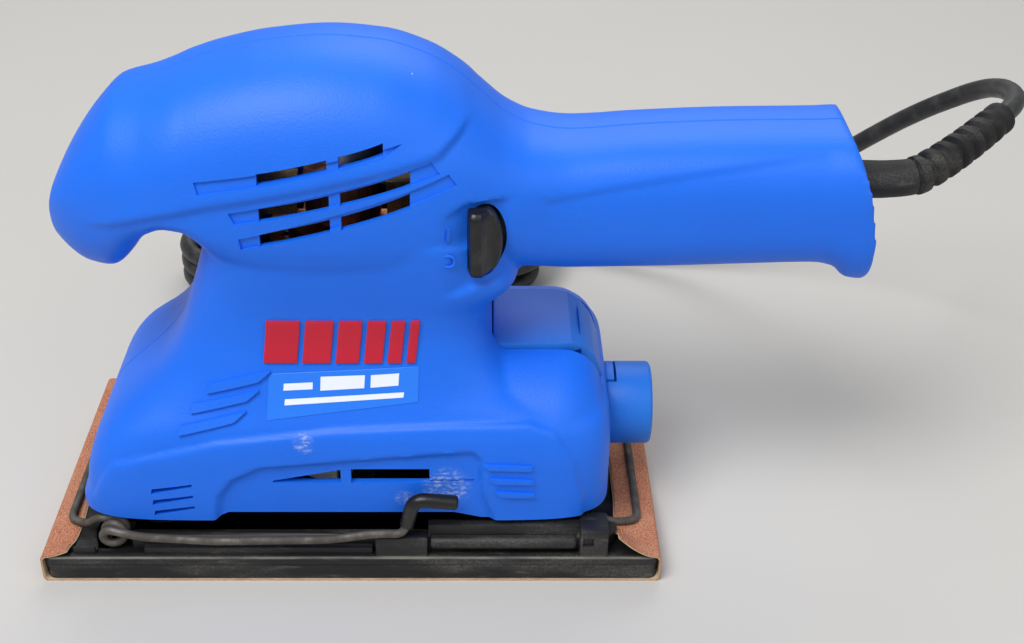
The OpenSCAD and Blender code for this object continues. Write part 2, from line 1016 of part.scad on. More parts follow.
housing_left();
housing_right();
dust_duct_cover();
dust_port();
housing_screws();
bearing_plate();
lower_bearing();
upper_bearing();
stator_core();
field_coils();
brush_holders();
carbon_brushes();
brush_springs();
switch_body();
noise_capacitor();
lead_wires();
cord_clamp();
cord_clamp_screws();
cord_inner_end();
orbit_legs();
front_emblem();
label_plate();
strain_relief();
power_cord();
cord_hank();
cord_tie();
plug_lead();
plug_body();
plug_blades();
motor_shaft();
armature_core();
armature_windings();
commutator();
cooling_fan();
counterweight();
crank_pin_screw();
platen();
pad_cushion();
abrasive_paper();
eccentric_bearing();
cushion_screws();
front_bail();
front_lever();
front_lever_sleeve();
rear_bail();
rear_lever();
rear_lever_sleeve();
switch_rocker();
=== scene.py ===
"""The looks of a one-third-sheet orbital finishing sander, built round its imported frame.

Meshes are drawn in millimetres in the frame's own axes: +X towards the rear handle, +Y away
from the switch side and +Z up from the sanding face. A piece is scaled to metres as it is made.
"""

import logging
import math
from dataclasses import dataclass, field
from enum import Enum
from typing import Callable, Iterable, Sequence

import bmesh
import bpy
import numpy as np
from mathutils import Matrix, Vector
from mathutils.bvhtree import BVHTree


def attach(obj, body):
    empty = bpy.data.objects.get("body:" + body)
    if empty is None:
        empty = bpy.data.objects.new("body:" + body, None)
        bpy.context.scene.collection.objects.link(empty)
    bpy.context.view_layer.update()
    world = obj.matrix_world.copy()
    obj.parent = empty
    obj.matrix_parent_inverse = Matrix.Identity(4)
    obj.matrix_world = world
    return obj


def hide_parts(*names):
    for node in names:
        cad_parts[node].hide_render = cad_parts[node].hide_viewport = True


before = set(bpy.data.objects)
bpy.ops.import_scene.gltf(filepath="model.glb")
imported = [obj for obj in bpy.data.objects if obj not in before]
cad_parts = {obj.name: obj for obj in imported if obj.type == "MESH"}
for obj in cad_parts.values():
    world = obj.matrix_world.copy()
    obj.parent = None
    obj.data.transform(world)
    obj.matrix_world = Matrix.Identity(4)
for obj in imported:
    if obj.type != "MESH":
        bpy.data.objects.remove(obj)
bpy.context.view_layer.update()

MM = 0.001
LOG = logging.getLogger("sander")

Point = tuple[float, float, float]
Colour = tuple[float, float, float]


# --------------------------------------------------------------------------- numbers


def smoothstep(low: float, high: float, value: float) -> float:
    """Rise smoothly from 0 at low to 1 at high."""
    t = min(1.0, max(0.0, (value - low) / (high - low)))
    return t * t * (3 - 2 * t)


class Profile:
    """A smooth curve through a few (place, value, value...) rows, without overshoot."""

    def __init__(self, rows: Sequence[Sequence[float]]) -> None:
        """Keep the rows and work out a slope for each value at each row.

        Args:
            rows: Places in rising order, each with its values.
        """
        self.rows = rows
        self.slopes = [self._slopes(column) for column in range(1, len(rows[0]))]

    def _slopes(self, column: int) -> list[float]:
        """Return a slope at each row for one column, flat at its peaks."""
        rows = self.rows
        steps = [
            (b[column] - a[column]) / (b[0] - a[0]) for a, b in zip(rows, rows[1:])
        ]
        inner = [
            0.0 if a * b <= 0 else 2 * a * b / (a + b) for a, b in zip(steps, steps[1:])
        ]
        return [steps[0], *inner, steps[-1]]

    def at(self, place: float) -> list[float]:
        """Return the values at a place, held level past both ends."""
        rows = self.rows
        place = min(max(place, rows[0][0]), rows[-1][0])
        i = next((k for k in range(len(rows) - 1) if place <= rows[k + 1][0]), 0)
        width = rows[i + 1][0] - rows[i][0]
        t = (place - rows[i][0]) / width
        found = []
        for column, slopes in enumerate(self.slopes, start=1):
            a, b = rows[i][column], rows[i + 1][column]
            found.append(
                a * (1 + 2 * t) * (1 - t) ** 2
                + b * t * t * (3 - 2 * t)
                + width * (slopes[i] * t * (1 - t) ** 2 - slopes[i + 1] * t * t * (1 - t))
            )
        return found


def rounded(points: Sequence[Point], reach: float, steps: int = 4) -> list[Vector]:
    """Round the inner corners of a route.

    Args:
        points: The route's corners.
        reach: How far from a corner its curve starts.
        steps: The pieces of each curve.

    Returns:
        The route with a curve in place of each inner corner.
    """
    corners = [Vector(p) for p in points]
    made = [corners[0]]
    for before, corner, after in zip(corners, corners[1:], corners[2:]):
        a = corner + (before - corner).normalized() * min(reach, (before - corner).length * 0.45)
        b = corner + (after - corner).normalized() * min(reach, (after - corner).length * 0.45)
        for k in range(steps + 1):
            u = k / steps
            made.append(a * (1 - u) ** 2 + corner * (2 * u * (1 - u)) + b * u * u)
    return [*made, corners[-1]]


def flowing(points: Sequence[Point], steps: int) -> list[Vector]:
    """Return a smooth line through every point of a route.

    Args:
        points: The points that the line passes through.
        steps: The pieces between two points.
    """
    p = [Vector(q) for q in points]
    p = [p[0] * 2 - p[1], *p, p[-1] * 2 - p[-2]]
    made = []
    for a, b, c, d in zip(p, p[1:], p[2:], p[3:]):
        for k in range(steps):
            t = k / steps
            made.append(
                0.5 * (2 * b + (c - a) * t + (2 * a - 5 * b + 4 * c - d) * t * t
                       + (3 * b - a - 3 * c + d) * t ** 3)
            )
    return [*made, p[-2]]


# --------------------------------------------------------------------------- materials


class Socket:
    """A shader socket that can be used in sums; each sum adds its own Math nodes."""

    def __init__(self, tree: "Shader", link: bpy.types.NodeSocket) -> None:
        """Wrap an output socket of a shader's tree."""
        self.tree = tree
        self.link = link

    def _maths(self, operation: str, *values: "Socket | float") -> "Socket":
        """Return one Math node's result."""
        return self.tree.node("ShaderNodeMath", {"operation": operation}, values)

    def __add__(self, other: "Socket | float") -> "Socket":
        """Add."""
        return self._maths("ADD", self, other)

    def __radd__(self, other: float) -> "Socket":
        """Add from the left."""
        return self._maths("ADD", other, self)

    def __sub__(self, other: "Socket | float") -> "Socket":
        """Subtract."""
        return self._maths("SUBTRACT", self, other)

    def __rsub__(self, other: float) -> "Socket":
        """Subtract from a number."""
        return self._maths("SUBTRACT", other, self)

    def __mul__(self, other: "Socket | float") -> "Socket":
        """Multiply."""
        return self._maths("MULTIPLY", self, other)

    def __rmul__(self, other: float) -> "Socket":
        """Multiply from the left."""
        return self._maths("MULTIPLY", other, self)

    def __truediv__(self, other: "Socket | float") -> "Socket":
        """Divide."""
        return self._maths("DIVIDE", self, other)

    def __pow__(self, other: "Socket | float") -> "Socket":
        """Raise to a power."""
        return self._maths("POWER", self, other)

    def above(self, edge: float, softness: float) -> "Socket":
        """Return 1 where the value is over an edge and 0 under it, with a soft step."""
        settings = {"interpolation_type": "SMOOTHSTEP"}
        return self.tree.node(
            "ShaderNodeMapRange", settings, (self, edge - softness, edge + softness, 0.0, 1.0)
        )


class Shader:
    """One material's node tree, built up by method calls."""

    def __init__(self, name: str) -> None:
        """Start an empty material with a Principled shader.

        Args:
            name: The material's name.
        """
        self.material = bpy.data.materials.new(name)
        self.material.use_nodes = True
        self.nodes = self.material.node_tree.nodes
        self.links = self.material.node_tree.links
        self.shader = self.nodes["Principled BSDF"]

    def node(self, kind: str, settings: dict, values: Iterable, output: int = 0) -> Socket:
        """Add one node.

        Args:
            kind: The node's type.
            settings: Its own settings, which are set first.
            values: What its input sockets take in order; None leaves one as it is.
            output: Which output to return.

        Returns:
            The wrapped output socket.
        """
        made = self.nodes.new(kind)
        for key, value in settings.items():
            setattr(made, key, value)
        for place, value in zip(made.inputs, values):
            if isinstance(value, Socket):
                self.links.new(value.link, place)
            elif value is not None:
                place.default_value = value
        return Socket(self, made.outputs[output])

    def place(self, stretch: Point = (1, 1, 1)) -> Socket:
        """Return the piece's own coordinates, stretched along its axes."""
        where = self.node("ShaderNodeTexCoord", {}, (), output=3)
        return self.node("ShaderNodeMapping", {}, (where, None, None, stretch))

    def along(self, axis: int) -> Socket:
        """Return one of the piece's own coordinates, in metres."""
        where = self.node("ShaderNodeTexCoord", {}, (), output=3)
        return self.node("ShaderNodeSeparateXYZ", {}, (where,), output=axis)

    def from_point(self, point: Point) -> Socket:
        """Return the distance from a point of the piece, in metres."""
        where = self.node("ShaderNodeTexCoord", {}, (), output=3)
        return self.node("ShaderNodeVectorMath", {"operation": "DISTANCE"}, (where, point), 1)

    def noise(self, scale: float, detail: float = 3, stretch: Point = (1, 1, 1)) -> Socket:
        """Return noise whose grain is about 1/scale metres."""
        return self.node(
            "ShaderNodeTexNoise", {}, (self.place(stretch), None, scale, detail, 0.55)
        )

    def cells(self, scale: float, stretch: Point = (1, 1, 1)) -> Socket:
        """Return the distance to the nearest point of a scattered pattern."""
        return self.node("ShaderNodeTexVoronoi", {}, (self.place(stretch), None, scale))

    def mix(self, share: Socket | float, a: Colour | Socket, b: Colour | Socket) -> Socket:
        """Mix two colours by a share from 0 to 1."""
        made = self.nodes.new("ShaderNodeMix")
        made.data_type = "RGBA"
        for place, value in ((made.inputs[0], share), (made.inputs[6], a), (made.inputs[7], b)):
            if isinstance(value, Socket):
                self.links.new(value.link, place)
            elif isinstance(value, tuple):
                place.default_value = (*value, 1)
            else:
                place.default_value = value
        return Socket(self, made.outputs[2])

    def set(self, **sockets: Socket | float | Colour) -> None:
        """Give the Principled shader's sockets their values, named with underscores."""
        for key, value in sockets.items():
            place = self.shader.inputs[key.replace("_", " ")]
            if isinstance(value, Socket):
                self.links.new(value.link, place)
            elif isinstance(value, tuple):
                place.default_value = (*value, 1)
            else:
                place.default_value = value


def link_bump(shader: Shader, height: Socket, strength: float, depth: float) -> Socket:
    """Return a normal with relief of a given strength and full height in metres."""
    made = shader.nodes.new("ShaderNodeBump")
    made.inputs["Strength"].default_value = strength
    made.inputs["Distance"].default_value = depth
    shader.links.new(height.link, made.inputs["Height"])
    return Socket(shader, made.outputs[0])


@dataclass(frozen=True)
class MouldedPlastic:
    """Plastic from a textured mould, with handling marks and pale scuffs."""

    name: str
    colour: Colour
    shade: Colour
    grain: float = 1500.0
    relief: float = 0.00016
    roughness: float = 0.42
    scuff: Colour = (0.42, 0.52, 0.72)
    scuffed: float = 0.72
    rubs: tuple[tuple[float, float, float, float], ...] = ()

    def build(self) -> bpy.types.Material:
        """Return the material."""
        s = Shader(self.name)
        grain = s.noise(self.grain, 2)
        broad = s.noise(22, 3)
        specks = s.noise(900, 2)
        patches = s.noise(38, 4)
        marks = (specks * patches.above(self.scuffed, 0.05)).above(0.52, 0.06)
        colour = s.mix(broad.above(0.5, 0.35), self.shade, self.colour)
        colour = s.mix(marks * 0.8, colour, self.scuff)
        for x, y, z, reach in self.rubs:
            near = 1 - s.from_point((x, y, z)) / reach
            patch = near.above(0.3, 0.3) * (s.noise(1100, 5, (0.5, 1, 1)).above(0.55, 0.1) * 0.6 + 0.06)
            colour = s.mix(patch, colour, self.scuff)
        s.set(
            Base_Color=colour,
            Roughness=self.roughness + broad * 0.1 + marks * 0.25,
            Normal=link_bump(s, grain, 0.5, self.relief),
        )
        s.set(Specular_IOR_Level=0.34)
        return s.material


@dataclass(frozen=True)
class DustyBlack:
    """Black plastic or rubber, greyed by sanding dust, and given a pale painted highlight along its top
    edge where a lip is set.
    """

    name: str
    colour: Colour = (0.008, 0.008, 0.009)
    dust: Colour = (0.2, 0.19, 0.17)
    cover: float = 0.5
    roughness: float = 0.5
    streaks: Point = (0.22, 1, 1)
    lip: tuple[float, float] | None = None

    def build(self) -> bpy.types.Material:
        """Return the material; lip is the half-width and height of the edge that gets a painted highlight,
        in metres.
        """
        s = Shader(self.name)
        film = s.noise(120, 6, self.streaks).above(0.6, 0.16)
        fine = s.noise(1500, 3).above(0.52, 0.14)
        worn = s.noise(480, 4, self.streaks).above(0.66, 0.05)
        dust_and_highlight = (film * (0.25 + fine * 0.55) + worn * 0.3) * self.cover
        if self.lip:
            across, height = self.lip
            side = self.side_of(s)
            rise = s.along(2)
            # painted highlight: a pale strip at the lip's top edge stands in for light caught by the
            # rounded edge, broken into patches by noise
            lip_highlight = rise.above(height, 0.00025) * (1 - rise.above(height + 0.0009, 0.0001))
            lip_highlight = lip_highlight * side.above(across, 0.0002)
            lip_highlight = lip_highlight * (0.25 + s.noise(260, 4, (0.2, 1, 1)).above(0.47, 0.12) * 0.75)
            # the painted highlight is laid over the dust, so the mask carries both
            dust_and_highlight = dust_and_highlight * (1 - lip_highlight) + lip_highlight * 0.85
        s.set(
            Base_Color=s.mix(dust_and_highlight, self.colour, self.dust),
            Roughness=self.roughness + dust_and_highlight * 0.35,
            Normal=link_bump(s, s.noise(900, 3), 0.35, 0.0002),
        )
        s.set(Specular_IOR_Level=0.4)
        return s.material

    def side_of(self, s: Shader) -> Socket:
        """Return the distance across from the middle of the pad, in metres."""
        return s.node("ShaderNodeMath", {"operation": "ABSOLUTE"}, (s.along(1),))


@dataclass(frozen=True)
class Metal:
    """Drawn, cast or plated metal."""

    name: str
    colour: Colour
    tarnish: Colour
    roughness: float = 0.35
    stretch: Point = (1, 1, 1)
    grain: float = 500.0
    tarnished: float = 0.55

    def build(self) -> bpy.types.Material:
        """Return the material."""
        s = Shader(self.name)
        spots = s.noise(190, 5).above(self.tarnished, 0.16)
        lines = s.noise(self.grain, 3, self.stretch)
        s.set(
            Base_Color=s.mix(spots, self.colour, self.tarnish),
            Roughness=self.roughness + lines * 0.16 + spots * 0.2,
            Metallic=1.0 - spots * 0.45,
            Normal=link_bump(s, lines, 0.3, 0.0001),
        )
        return s.material


@dataclass(frozen=True)
class AbrasivePaper:
    """Aluminium-oxide grit on a tan paper backing."""

    name: str = "abrasive_paper"
    grit: Colour = (0.60, 0.25, 0.13)
    grit_dark: Colour = (0.34, 0.115, 0.06)
    backing: Colour = (0.56, 0.42, 0.26)

    def build(self) -> bpy.types.Material:
        """Return the material."""
        s = Shader(self.name)
        grains = s.cells(1900)
        loose = s.noise(1300, 3).above(0.68, 0.04)
        loaded = s.noise(60, 5).above(0.56, 0.2)
        colour = s.mix(grains.above(0.42, 0.25), self.grit, self.grit_dark)
        colour = s.mix(loaded * 0.28, colour, (0.62, 0.36, 0.22))
        colour = s.mix(loose * 0.85, colour, (0.03, 0.02, 0.02))
        s.set(
            Base_Color=colour,
            Roughness=0.86 - grains * 0.2,
            Normal=link_bump(s, grains, 0.8, 0.00025),
        )
        return s.material


@dataclass(frozen=True)
class PaperBacking:
    """The plain tan back and cut edge of the abrasive paper."""

    name: str = "paper_backing"
    colour: Colour = (0.55, 0.42, 0.27)

    def build(self) -> bpy.types.Material:
        """Return the material."""
        s = Shader(self.name)
        fibres = s.noise(700, 4, (0.3, 1, 1))
        colour = s.mix(fibres.above(0.55, 0.2), self.colour, (0.42, 0.29, 0.17))
        s.set(Base_Color=colour, Roughness=0.9, Normal=link_bump(s, fibres, 0.4, 0.0001))
        return s.material


@dataclass(frozen=True)
class CordSheath:
    """Soft black sheath, with a faint grain and some dust."""

    name: str = "cord_sheath"
    colour: Colour = (0.012, 0.012, 0.013)

    def build(self) -> bpy.types.Material:
        """Return the material."""
        s = Shader(self.name)
        dust = s.noise(240, 5).above(0.6, 0.2)
        s.set(
            Base_Color=s.mix(dust * 0.3, self.colour, (0.12, 0.12, 0.115)),
            Roughness=0.4 + dust * 0.25,
            Normal=link_bump(s, s.noise(1600, 2), 0.3, 0.0001),
        )
        return s.material


class Finish(Enum):
    """Every finish on the sander, by the piece it is for."""

    HOUSING = MouldedPlastic(
        "housing_blue", (0.008, 0.152, 0.82), (0.007, 0.136, 0.75),
        rubs=((0.029, -0.0405, 0.0315, 0.0085), (0.0165, -0.0405, 0.0275, 0.0035),
              (-0.012, -0.04, 0.0475, 0.004)),
    )
    # a darker, greyer copy of the housing blue: painted shade for the up-facing duct cover, also used for
    # the port
    DUCT_SHADED = MouldedPlastic("duct_blue_painted_shade", (0.012, 0.165, 0.66), (0.01, 0.15, 0.6), scuffed=0.7)
    EMBLEM = MouldedPlastic(
        "emblem_red", (0.55, 0.012, 0.035), (0.47, 0.01, 0.03), relief=0.00005, roughness=0.36
    )
    LABEL = MouldedPlastic(
        "label_blue", (0.02, 0.2, 0.86), (0.02, 0.18, 0.8), relief=0.00003, roughness=0.3
    )
    LABEL_INK = MouldedPlastic(
        "label_ink", (0.8, 0.84, 0.9), (0.75, 0.8, 0.87), relief=0.00002, roughness=0.4
    )
    # lip puts a pale painted highlight along the platen's top edge
    PLATEN = DustyBlack("platen_black", cover=0.42, lip=(0.0459, 0.0085))
    CUSHION = DustyBlack("cushion_black", cover=0.55, roughness=0.6)
    SLEEVE = DustyBlack("grip_black", cover=0.15, roughness=0.36)
    ROCKER = DustyBlack("rocker_black", cover=0.22, roughness=0.34, streaks=(1, 1, 1))
    INSIDE = DustyBlack("inner_black", cover=0.3)
    RUBBER = DustyBlack("rubber_black", cover=0.4, roughness=0.65)
    SHEATH = CordSheath()
    WIRE = Metal("spring_wire", (0.2, 0.185, 0.165), (0.09, 0.08, 0.07), 0.5, (1, 1, 1), 700, 0.45)
    SCREW = Metal("zinc_screw", (0.62, 0.62, 0.63), (0.35, 0.34, 0.32), 0.3)
    BEARING = Metal("bearing_steel", (0.6, 0.6, 0.61), (0.4, 0.4, 0.4), 0.22)
    CAST = Metal("cast_metal", (0.62, 0.62, 0.64), (0.42, 0.42, 0.43), 0.45)
    CORE = Metal("lamination_steel", (0.26, 0.26, 0.27), (0.15, 0.13, 0.12), 0.45, (1, 1, 40))
    COPPER = Metal("winding_copper", (0.72, 0.3, 0.13), (0.4, 0.15, 0.07), 0.3, (1, 1, 12))
    BRASS = Metal("stamped_brass", (0.78, 0.58, 0.26), (0.5, 0.35, 0.15), 0.28)
    CARBON = DustyBlack("pressed_carbon", cover=0.2, roughness=0.5)
    LEAD = MouldedPlastic(
        "lead_red", (0.5, 0.02, 0.02), (0.42, 0.015, 0.015), relief=0.00003, roughness=0.35
    )
    FILM = MouldedPlastic("capacitor_yellow", (0.6, 0.42, 0.08), (0.5, 0.34, 0.06), roughness=0.3)
    PAPER = AbrasivePaper()
    BACKING = PaperBacking()

    def material(self) -> bpy.types.Material:
        """Return this finish's material, made once."""
        found = bpy.data.materials.get(self.value.name)
        return found or self.value.build()


# --------------------------------------------------------------------------- mesh work


def piece(
    name: str,
    bm: bmesh.types.BMesh,
    finish: Finish,
    body: str,
    replaces: Sequence[str] = (),
    sharp: float = 35.0,
    turn_out: bool = True,
) -> bpy.types.Object:
    """Make a piece from a mesh drawn in millimetres.

    Args:
        name: The piece's name.
        bm: Its mesh, which is freed.
        finish: What it is dressed in.
        body: The CAD body that it rides on.
        replaces: The CAD nodes that it stands for.
        sharp: The angle in degrees past which an edge stays crisp.
        turn_out: Whether its faces still have to be turned outwards.

    Returns:
        The object.
    """
    if turn_out:
        bmesh.ops.recalc_face_normals(bm, faces=bm.faces)
    bmesh.ops.scale(bm, vec=(MM, MM, MM), verts=bm.verts)
    mesh = bpy.data.meshes.new(name)
    bm.to_mesh(mesh)
    bm.free()
    return dress(name, mesh, finish, body, replaces, sharp)


def dress(
    name: str,
    mesh: bpy.types.Mesh,
    finish: Finish,
    body: str,
    replaces: Sequence[str] = (),
    sharp: float = 35.0,
) -> bpy.types.Object:
    """Make a piece from a finished mesh in metres; see piece() for the arguments."""
    made = bpy.data.objects.new(name, mesh)
    bpy.context.scene.collection.objects.link(made)
    mesh.shade_smooth()
    mesh.set_sharp_from_angle(angle=math.radians(sharp))
    mesh.materials.clear()
    mesh.materials.append(finish.material())
    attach(made, body)
    if replaces:
        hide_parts(*replaces)
    LOG.info("%s: %d faces", name, len(mesh.polygons))
    return made


def loft(rings: Sequence[Sequence[Point]]) -> bmesh.types.BMesh:
    """Return a closed solid through rings that have the same number of points."""
    bm = bmesh.new()
    add_loft(bm, rings)
    return bm


def add_loft(bm: bmesh.types.BMesh, rings: Sequence[Sequence[Point]]) -> None:
    """Add a closed solid through rings of points to a mesh."""
    loops = []
    for i, ring in enumerate(rings):
        ends = i in (0, len(rings) - 1)
        circle = bmesh.ops.create_circle(bm, cap_ends=ends, segments=len(ring), radius=1)
        for vert, point in zip(circle["verts"], ring):
            vert.co = point
        edges = {e for v in circle["verts"] for e in v.link_edges}
        loops.append([e for e in edges if all(v in circle["verts"] for v in e.verts)])
    for a, b in zip(loops, loops[1:]):
        bmesh.ops.bridge_loops(bm, edges=a + b)


def add_tube(
    bm: bmesh.types.BMesh, route: Sequence[Vector], radii: float | Sequence[float], sides: int = 14
) -> None:
    """Add a closed round tube along a route.

    Args:
        bm: The mesh.
        route: The points of its centreline.
        radii: Its radius, or one for each point.
        sides: The points of a ring.
    """
    spread = [radii] * len(route) if isinstance(radii, (int, float)) else radii
    across = Vector((0, 0, 1))
    rings = []
    for i, (point, r) in enumerate(zip(route, spread)):
        along = (route[min(i + 1, len(route) - 1)] - route[max(i - 1, 0)]).normalized()
        if i == 0 and abs(along.z) > 0.9:
            across = Vector((1, 0, 0))
        across = (across - across.dot(along) * along).normalized()
        up = along.cross(across)
        turns = [2 * math.pi * k / sides for k in range(sides)]
        rings.append([point + r * (math.cos(a) * across + math.sin(a) * up) for a in turns])
    add_loft(bm, rings)


def add_box(
    bm: bmesh.types.BMesh,
    low: Point,
    high: Point,
    bevel: float = 0.4,
    turn: Matrix | None = None,
    segments: int = 2,
) -> None:
    """Add a box with rounded edges.

    Args:
        bm: The mesh.
        low: Its lowest corner.
        high: Its highest corner.
        bevel: The width of its rounded edges.
        turn: A further placement.
        segments: The pieces of each rounded edge.
    """
    low_v, high_v = Vector(low), Vector(high)
    place = Matrix.LocRotScale((low_v + high_v) / 2, None, high_v - low_v)
    cube = bmesh.ops.create_cube(bm, size=1, matrix=place)
    edges = list({e for v in cube["verts"] for e in v.link_edges})
    verts = list(cube["verts"])
    if bevel:
        made = bmesh.ops.bevel(
            bm, geom=edges, offset=bevel, offset_type="OFFSET", affect="EDGES",
            segments=segments, profile=0.5, material=-1, clamp_overlap=True,
        )
        verts = list({v for f in made["faces"] for v in f.verts} | {v for v in verts if v.is_valid})
    if turn is not None:
        bmesh.ops.transform(bm, matrix=turn, verts=verts)


def add_turned(
    bm: bmesh.types.BMesh,
    outline: Sequence[tuple[float, float]],
    place: Matrix,
    steps: int = 40,
) -> None:
    """Add a turned part from its half outline of (radius, height) points.

    Args:
        bm: The mesh.
        outline: Points from the axis back to the axis, or a closed ring off the axis.
        place: Where its axis, drawn along Z, ends up.
        steps: The pieces of a full turn.
    """
    verts = [bm.verts.new((r, 0, h)) for r, h in outline]
    edges = [bm.edges.new(pair) for pair in zip(verts, verts[1:])]
    if outline[0][0] > 0:
        edges.append(bm.edges.new((verts[-1], verts[0])))
    bmesh.ops.spin(
        bm, geom=verts + edges, cent=(0, 0, 0), axis=(0, 0, 1), angle=2 * math.pi,
        steps=steps, use_merge=True,
    )
    # what was in the mesh before is tagged, so that only the new part is merged and moved
    near = [v for v in bm.verts if not v.tag]
    bmesh.ops.remove_doubles(bm, verts=near, dist=1e-4)
    bmesh.ops.transform(bm, matrix=place, verts=[v for v in bm.verts if not v.tag])
    for v in bm.verts:
        v.tag = True


def bevelled(bm: bmesh.types.BMesh, width: float, segments: int = 2, angle: float = 40) -> None:
    """Round every edge of a mesh that is sharper than an angle in degrees."""
    limit = math.radians(angle)
    edges = [e for e in bm.edges if e.is_manifold and e.calc_face_angle(0) > limit]
    bmesh.ops.bevel(
        bm, geom=edges, offset=width, offset_type="OFFSET", affect="EDGES",
        segments=segments, profile=0.5, material=-1, clamp_overlap=True,
    )


def applied(made: bpy.types.Object) -> bpy.types.Mesh:
    """Return the mesh of an object with its modifiers, and remove the object."""
    ready = made.evaluated_get(bpy.context.evaluated_depsgraph_get())
    mesh = bpy.data.meshes.new_from_object(ready)
    bpy.data.objects.remove(made)
    return mesh


def loose_object(name: str, bm: bmesh.types.BMesh) -> bpy.types.Object:
    """Return a scratch object with a mesh in millimetres, which is freed."""
    mesh = bpy.data.meshes.new(name)
    bm.to_mesh(mesh)
    bm.free()
    made = bpy.data.objects.new(name, mesh)
    bpy.context.scene.collection.objects.link(made)
    return made


def cut(target: bpy.types.Object, tools: bmesh.types.BMesh, how: str = "DIFFERENCE",
        solver: str = "EXACT") -> bpy.types.Object:
    """Return a scratch object with cutters taken from it, or joined to it.

    Args:
        target: The object to cut, which is removed.
        tools: The cutters, which may overlap each other; they are freed.
        how: The Boolean's operation.
        solver: EXACT, or MANIFOLD for cutters that don't overlap.
    """
    cutter = loose_object("cutter", tools)
    modifier = target.modifiers.new("cut", "BOOLEAN")
    modifier.object = cutter
    modifier.operation = how
    modifier.solver = solver
    if solver == "EXACT":
        modifier.use_self = True
    name = target.name
    mesh = applied(target)
    bpy.data.objects.remove(cutter)
    made = bpy.data.objects.new(name, mesh)
    bpy.context.scene.collection.objects.link(made)
    return made


# --------------------------------------------------------------------------- studio and cord


@dataclass
class Studio:
    """The bench, the lights and the camera."""

    camera_at: Point = (0.0408, -0.3733, 0.3029)
    camera_tilt: float = 57.3
    lens: float = 50.98
    shift: float = 0.0244
    bench_size: float = 6.0

    def build(self) -> None:
        """Make the bench, the lights and the camera."""
        scene = bpy.context.scene
        camera = bpy.data.cameras.new("camera")
        camera.lens = self.lens
        camera.sensor_width = 36
        camera.shift_x = self.shift
        camera.clip_start = 0.01
        holder = bpy.data.objects.new("camera", camera)
        holder.location = self.camera_at
        holder.rotation_euler = (math.radians(self.camera_tilt), 0, 0)
        scene.collection.objects.link(holder)
        scene.camera = holder
        scene.view_settings.view_transform = "Standard"
        self.bench()
        self.light("key", (-0.45, -0.6, 1.35), 0.8, 21)
        self.light("fill", (0.9, -0.9, 0.9), 1.2, 5)
        self.light("back", (0.2, 1.1, 1.2), 1.0, 8)
        world = bpy.data.worlds.new("room")
        scene.world = world
        world.use_nodes = True
        world.node_tree.nodes["Background"].inputs["Color"].default_value = (0.93, 0.96, 1, 1)
        world.node_tree.nodes["Background"].inputs["Strength"].default_value = 0.34

    def bench(self) -> None:
        """Make the plain bench top."""
        bm = bmesh.new()
        bmesh.ops.create_grid(bm, x_segments=1, y_segments=1, size=self.bench_size / 2)
        mesh = bpy.data.meshes.new("bench")
        bm.to_mesh(mesh)
        bm.free()
        top = bpy.data.objects.new("bench", mesh)
        bpy.context.scene.collection.objects.link(top)
        s = Shader("bench_top")
        shade = s.mix(s.noise(3, 2), (0.50, 0.485, 0.46), (0.55, 0.535, 0.51))
        s.set(Base_Color=shade, Roughness=0.75)
        mesh.materials.append(s.material)

    def light(self, name: str, place: Point, size: float, power: float) -> None:
        """Add a square lamp that faces the sander.

        Args:
            name: The lamp's name.
            place: Where it hangs, in metres.
            size: The side of its square, in metres.
            power: Its power in watts.
        """
        lamp = bpy.data.lights.new(name, "AREA")
        lamp.size = size
        lamp.energy = power
        holder = bpy.data.objects.new(name, lamp)
        holder.location = place
        aim = Vector((0.02, 0, 0.07)) - Vector(place)
        holder.rotation_euler = aim.to_track_quat("-Z", "Y").to_euler()
        bpy.context.scene.collection.objects.link(holder)


